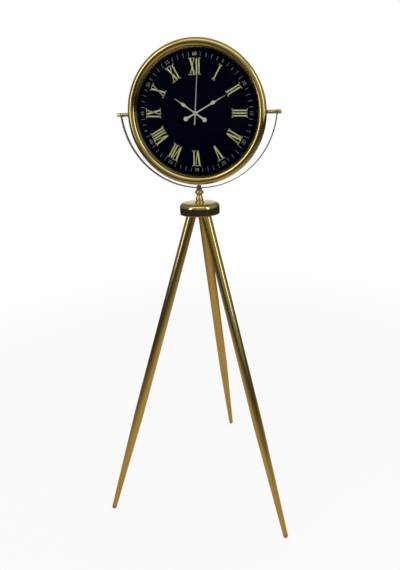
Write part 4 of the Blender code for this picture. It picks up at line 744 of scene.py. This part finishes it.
def numeral_shapes(letters):
    """The strokes and slab serifs of a Roman numeral, centred, from its foot at zero to its top."""
    widths = {"I": hour_pitch, "V": vee_width, "X": ex_width}
    total = sum(widths[letter] for letter in letters)
    shapes, left = [], -total / 2
    for letter in letters:
        width = widths[letter]
        middle, right = left + width / 2, left + width
        low, high = (middle, 0.0), (middle, hour_height)
        if letter == "I":
            shapes.append(bar(low, high, stroke * post_share))
            ends = [low, high]
        elif letter == "V":
            shapes.append(bar(low, (left + stroke / 2, hour_height), stroke))
            shapes.append(bar((middle + hairline / 2, 0.0), (right - hairline / 2, hour_height), hairline))
            ends = [(left + stroke / 2, hour_height), (right - hairline / 2, hour_height)]
        else:
            shapes.append(bar((right - stroke / 2, 0.0), (left + stroke / 2, hour_height), stroke))
            shapes.append(bar((left + hairline, 0.0), (right - hairline, hour_height), hairline))
            ends = [(left + hairline, 0.0), (right - stroke / 2, 0.0),
                    (left + stroke / 2, hour_height), (right - hairline, hour_height)]
        for x, y in ends:
            base = y - slab if y else 0.0
            shapes.append(bar((x, base), (x, base + slab), hour_pitch + slab_overhang))
        left = right
    return shapes


dial_surface = dial_front + print_lift
hours = bmesh.new()
for hour, letters in enumerate(("XII", "I", "II", "III", "IV", "V", "VI", "VII", "VIII", "IX", "X", "XI")):
    place = (Matrix.Rotation(print_turn - tau * hour / 12, 4, "Z")
             @ Matrix.Translation((0.0, hour_inner, dial_surface)))
    for corners in numeral_shapes(letters):
        add_slab(hours, corners, place)
bmesh.ops.recalc_face_normals(hours, faces=hours.faces)
add_piece("hour_numerals", hours, hour_gold, "head", head_place)

tick_inner, tick_outer, tick_width = 0.1365, 0.1470, 0.0011
ticks = bmesh.new()
for minute in range(60):
    if minute % 5:
        place = (Matrix.Rotation(print_turn - tau * minute / 60, 4, "Z")
                 @ Matrix.Translation((0.0, 0.0, dial_surface)))
        add_slab(ticks, bar((0.0, tick_inner), (0.0, tick_outer), tick_width), place)
bmesh.ops.recalc_face_normals(ticks, faces=ticks.faces)
add_piece("minute_track", ticks, track_grey, "head", head_place)

number_size, number_radius = 0.0120, 0.1418
numbers, sixty = bmesh.new(), bmesh.new()
for five in range(1, 13):
    text = bpy.data.curves.new("number", "FONT")
    text.body = str(five * 5)
    text.size = number_size
    text.align_x = text.align_y = "CENTER"
    text.extrude = print_height / 2
    source = bpy.data.objects.new("number", text)
    bpy.context.scene.collection.objects.link(source)
    bpy.context.view_layer.update()
    shape = bpy.data.meshes.new_from_object(source.evaluated_get(bpy.context.evaluated_depsgraph_get()))
    turn = print_turn - tau * five / 12
    # From 20 to 40 the numbers are turned round, so that they read upright on the lower half.
    upright = pi if 4 <= five <= 8 else 0.0
    shape.transform(Matrix.Rotation(turn, 4, "Z") @ Matrix.Translation((0.0, number_radius, dial_surface))
                    @ Matrix.Rotation(upright, 4, "Z") @ Matrix.Translation((0, 0, print_height / 2)))
    (sixty if five == 12 else numbers).from_mesh(shape)
    bpy.data.objects.remove(source)
    bpy.data.curves.remove(text)
    bpy.data.meshes.remove(shape)
add_piece("minute_numbers", numbers, track_grey, "head", head_place)
add_piece("sixty_number", sixty, hour_gold, "head", head_place)

# Hands
# Stamped from thin brass and brushed pale: a leaf-shaped bulb behind a needle point, a round
# counterweight with a dimple, and a boss pressed on the pipe. The second hand is a plain wand.
hand_brass = finish("hand_finish", (0.58, 0.56, 0.43, 1.0), (0.47, 0.44, 0.32, 1.0),
                    metallic=0.3, roughness=0.40, spread=0.14, patches=80.0)
wand_steel = finish("second_hand_steel", (0.50, 0.48, 0.47, 1.0), (0.40, 0.38, 0.37, 1.0),
                    metallic=0.3, roughness=0.40, spread=0.14)
hand_thickness, neck_half, needle_half, point_half = 0.0005, 0.0014, 0.0010, 0.00035
bulb_half_length, bulb_half_width, bulb_root_half, bulb_fullness = 0.0068, 0.0041, 0.00098, 1.3
bulb_steps, bulb_taper, bulb_bead = 16, 0.001, 0.0022
collar_half, collar_edge, collar_length, collar_setback = 0.00224, 0.0005, 0.002, 0.004
boss_radius, boss_back, tail_length, disc_radius, disc_steps = 0.0050, 0.003, 0.0285, 0.0056, 20
bead_rise, dimple_share, dimple_rim_share, bead_flat_share, bead_edge_share = 0.0002, 0.30, 0.42, 0.80, 0.20


def hand_outline(length, bulb_place):
    """One side of a hand, from its tail disc to its point, as (distance, half width) pairs."""
    outline = []
    for i in range(disc_steps - 2):
        angle = pi * i / disc_steps
        outline.append((-tail_length - disc_radius * cos(angle), disc_radius * sin(angle)))
    collar = bulb_place - bulb_half_length - collar_setback
    outline += [(-boss_back, neck_half), (boss_radius, neck_half), (collar, neck_half),
                (collar + collar_edge, collar_half), (collar + collar_length - collar_edge, collar_half),
                (collar + collar_length, neck_half)]
    for i in range(bulb_steps + 1):
        angle = pi * i / bulb_steps
        swell = (bulb_half_width - bulb_root_half) * sin(angle) ** bulb_fullness
        outline.append((bulb_place - bulb_half_length * cos(angle), bulb_root_half + swell))
    return outline + [(bulb_place + bulb_half_length + bulb_taper, needle_half), (length, point_half)]


def hand_mesh(outline, discs):
    """A flat hand from one side's outline, with a round bead at each disc's distance and radius."""
    bm = bmesh.new()
    corners = [(-y, x) for x, y in outline] + [(y, x) for x, y in reversed(outline) if y > 0.0]
    face = bm.faces.new([bm.verts.new((x, y, 0.0)) for x, y in corners])
    raised = bmesh.ops.extrude_face_region(bm, geom=[face])
    top = [item for item in raised["geom"] if isinstance(item, bmesh.types.BMVert)]
    bmesh.ops.translate(bm, verts=top, vec=(0.0, 0.0, -hand_thickness))
    bmesh.ops.recalc_face_normals(bm, faces=bm.faces)
    for distance, radius, dimpled in discs:
        middle = -bead_rise if dimpled else bead_rise
        bead = lathe([(0.0, middle), (radius * dimple_share, middle), (radius * dimple_rim_share, bead_rise),
                      (radius * bead_flat_share, bead_rise), (radius, bead_rise * bead_edge_share),
                      (radius, -hand_thickness), (0.0, -hand_thickness)], steps=40)
        mesh = bpy.data.meshes.new("bead")
        bead.to_mesh(mesh)
        bead.free()
        mesh.transform(Matrix.Translation((0.0, distance, 0.0)))
        bm.from_mesh(mesh)
        bpy.data.meshes.remove(mesh)
    return bm


def hand_place(node, degrees):
    """Where a hand lies: at its CAD node's front, turned clockwise from twelve."""
    front = -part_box(node)[0].y + hub_axis_y
    return head_place @ Matrix.Translation((0.0, 0.0, front)) @ Matrix.Rotation(-radians(degrees), 4, "Z")


for name, length, bulb_place, angle in (("hour", 0.064, 0.0365, -55), ("minute", 0.0885, 0.0525, 62)):
    discs = [(0.0, boss_radius, False), (-tail_length, disc_radius, True), (bulb_place, bulb_bead, True)]
    bm = hand_mesh(hand_outline(length, bulb_place), discs)
    place = hand_place(name + "_hand", angle)
    add_piece(name + "_pointer", bm, hand_brass, name, place, [name + "_hand"])
wand_length, wand_tail, wand_boss, wand_angle = 0.115, 0.0285, 0.0034, 5
wand_tail_half, wand_middle_half, wand_point_half = 0.0013, 0.0011, 0.0006
wand = hand_mesh([(-wand_tail, wand_tail_half), (0.0, wand_middle_half), (wand_length, wand_point_half)],
                 [(0.0, wand_boss, False)])
place = hand_place("second_hand", wand_angle)
add_piece("second_pointer", wand, wand_steel, "second", place, ["second_hand"])
pin_radius, pin_flat_radius, pin_rise, pin_shoulder = 0.0013, 0.00104, 0.0006, 0.00042
pin_dark = finish("blued_pin", (0.035, 0.032, 0.030, 1.0), (0.015, 0.014, 0.014, 1.0),
                  metallic=1.0, roughness=0.3, spread=0.2)
pin = lathe([(0.0, pin_rise), (pin_flat_radius, pin_rise), (pin_radius, pin_shoulder),
             (pin_radius, -hand_thickness), (0.0, -hand_thickness)], steps=24)
add_piece("centre_pin", pin, pin_dark, "second", place)
refinish(pivot_brass, "dial_nut", "minute_pipe")

# Movement
# A quartz movement behind the dial: a black moulded housing with the cell in its bay, white acetal
# wheels moulded with their arbors, a copper coil on a laminated stator and a small circuit board.
housing_black = finish("housing_plastic", (0.03, 0.03, 0.03, 1.0), (0.015, 0.015, 0.016, 1.0),
                       metallic=0.0, roughness=0.45, spread=0.2, grit=0.25)
acetal = finish("white_acetal", (0.80, 0.80, 0.77, 1.0), (0.68, 0.67, 0.62, 1.0),
                metallic=0.0, roughness=0.38, spread=0.15, grit=0.1)
copper = finish("enamelled_wire", (0.60, 0.27, 0.12, 1.0), (0.42, 0.16, 0.06, 1.0),
                metallic=1.0, roughness=0.3, spread=0.2, grit=0.3, lines=0.3)
green = finish("board_lacquer", (0.05, 0.20, 0.09, 1.0), (0.03, 0.12, 0.06, 1.0),
               metallic=0.0, roughness=0.35, spread=0.2, grit=0.15)
refinish(housing_black, "movement_housing", "movement_cover", "rotor")
refinish(acetal, "middle_plate", "hour_wheel", "motion_wheel", "setting_knob", "second_arbor", "third_wheel",
         "centre_wheel", "step_wheel")
refinish(copper, "motor_coil")
refinish(green, "circuit_board")
refinish(zinc, "stator", "cell", "cell_contact_left", "cell_contact_right")

# Back cover
# A flat brass disc over the back of the drum with a square window at the movement, held by four
# small round-head screws.
refinish(case_brass, "rear_cover")
refinish(zinc, "rear_screw_1", "rear_screw_2", "rear_screw_3", "rear_screw_4")
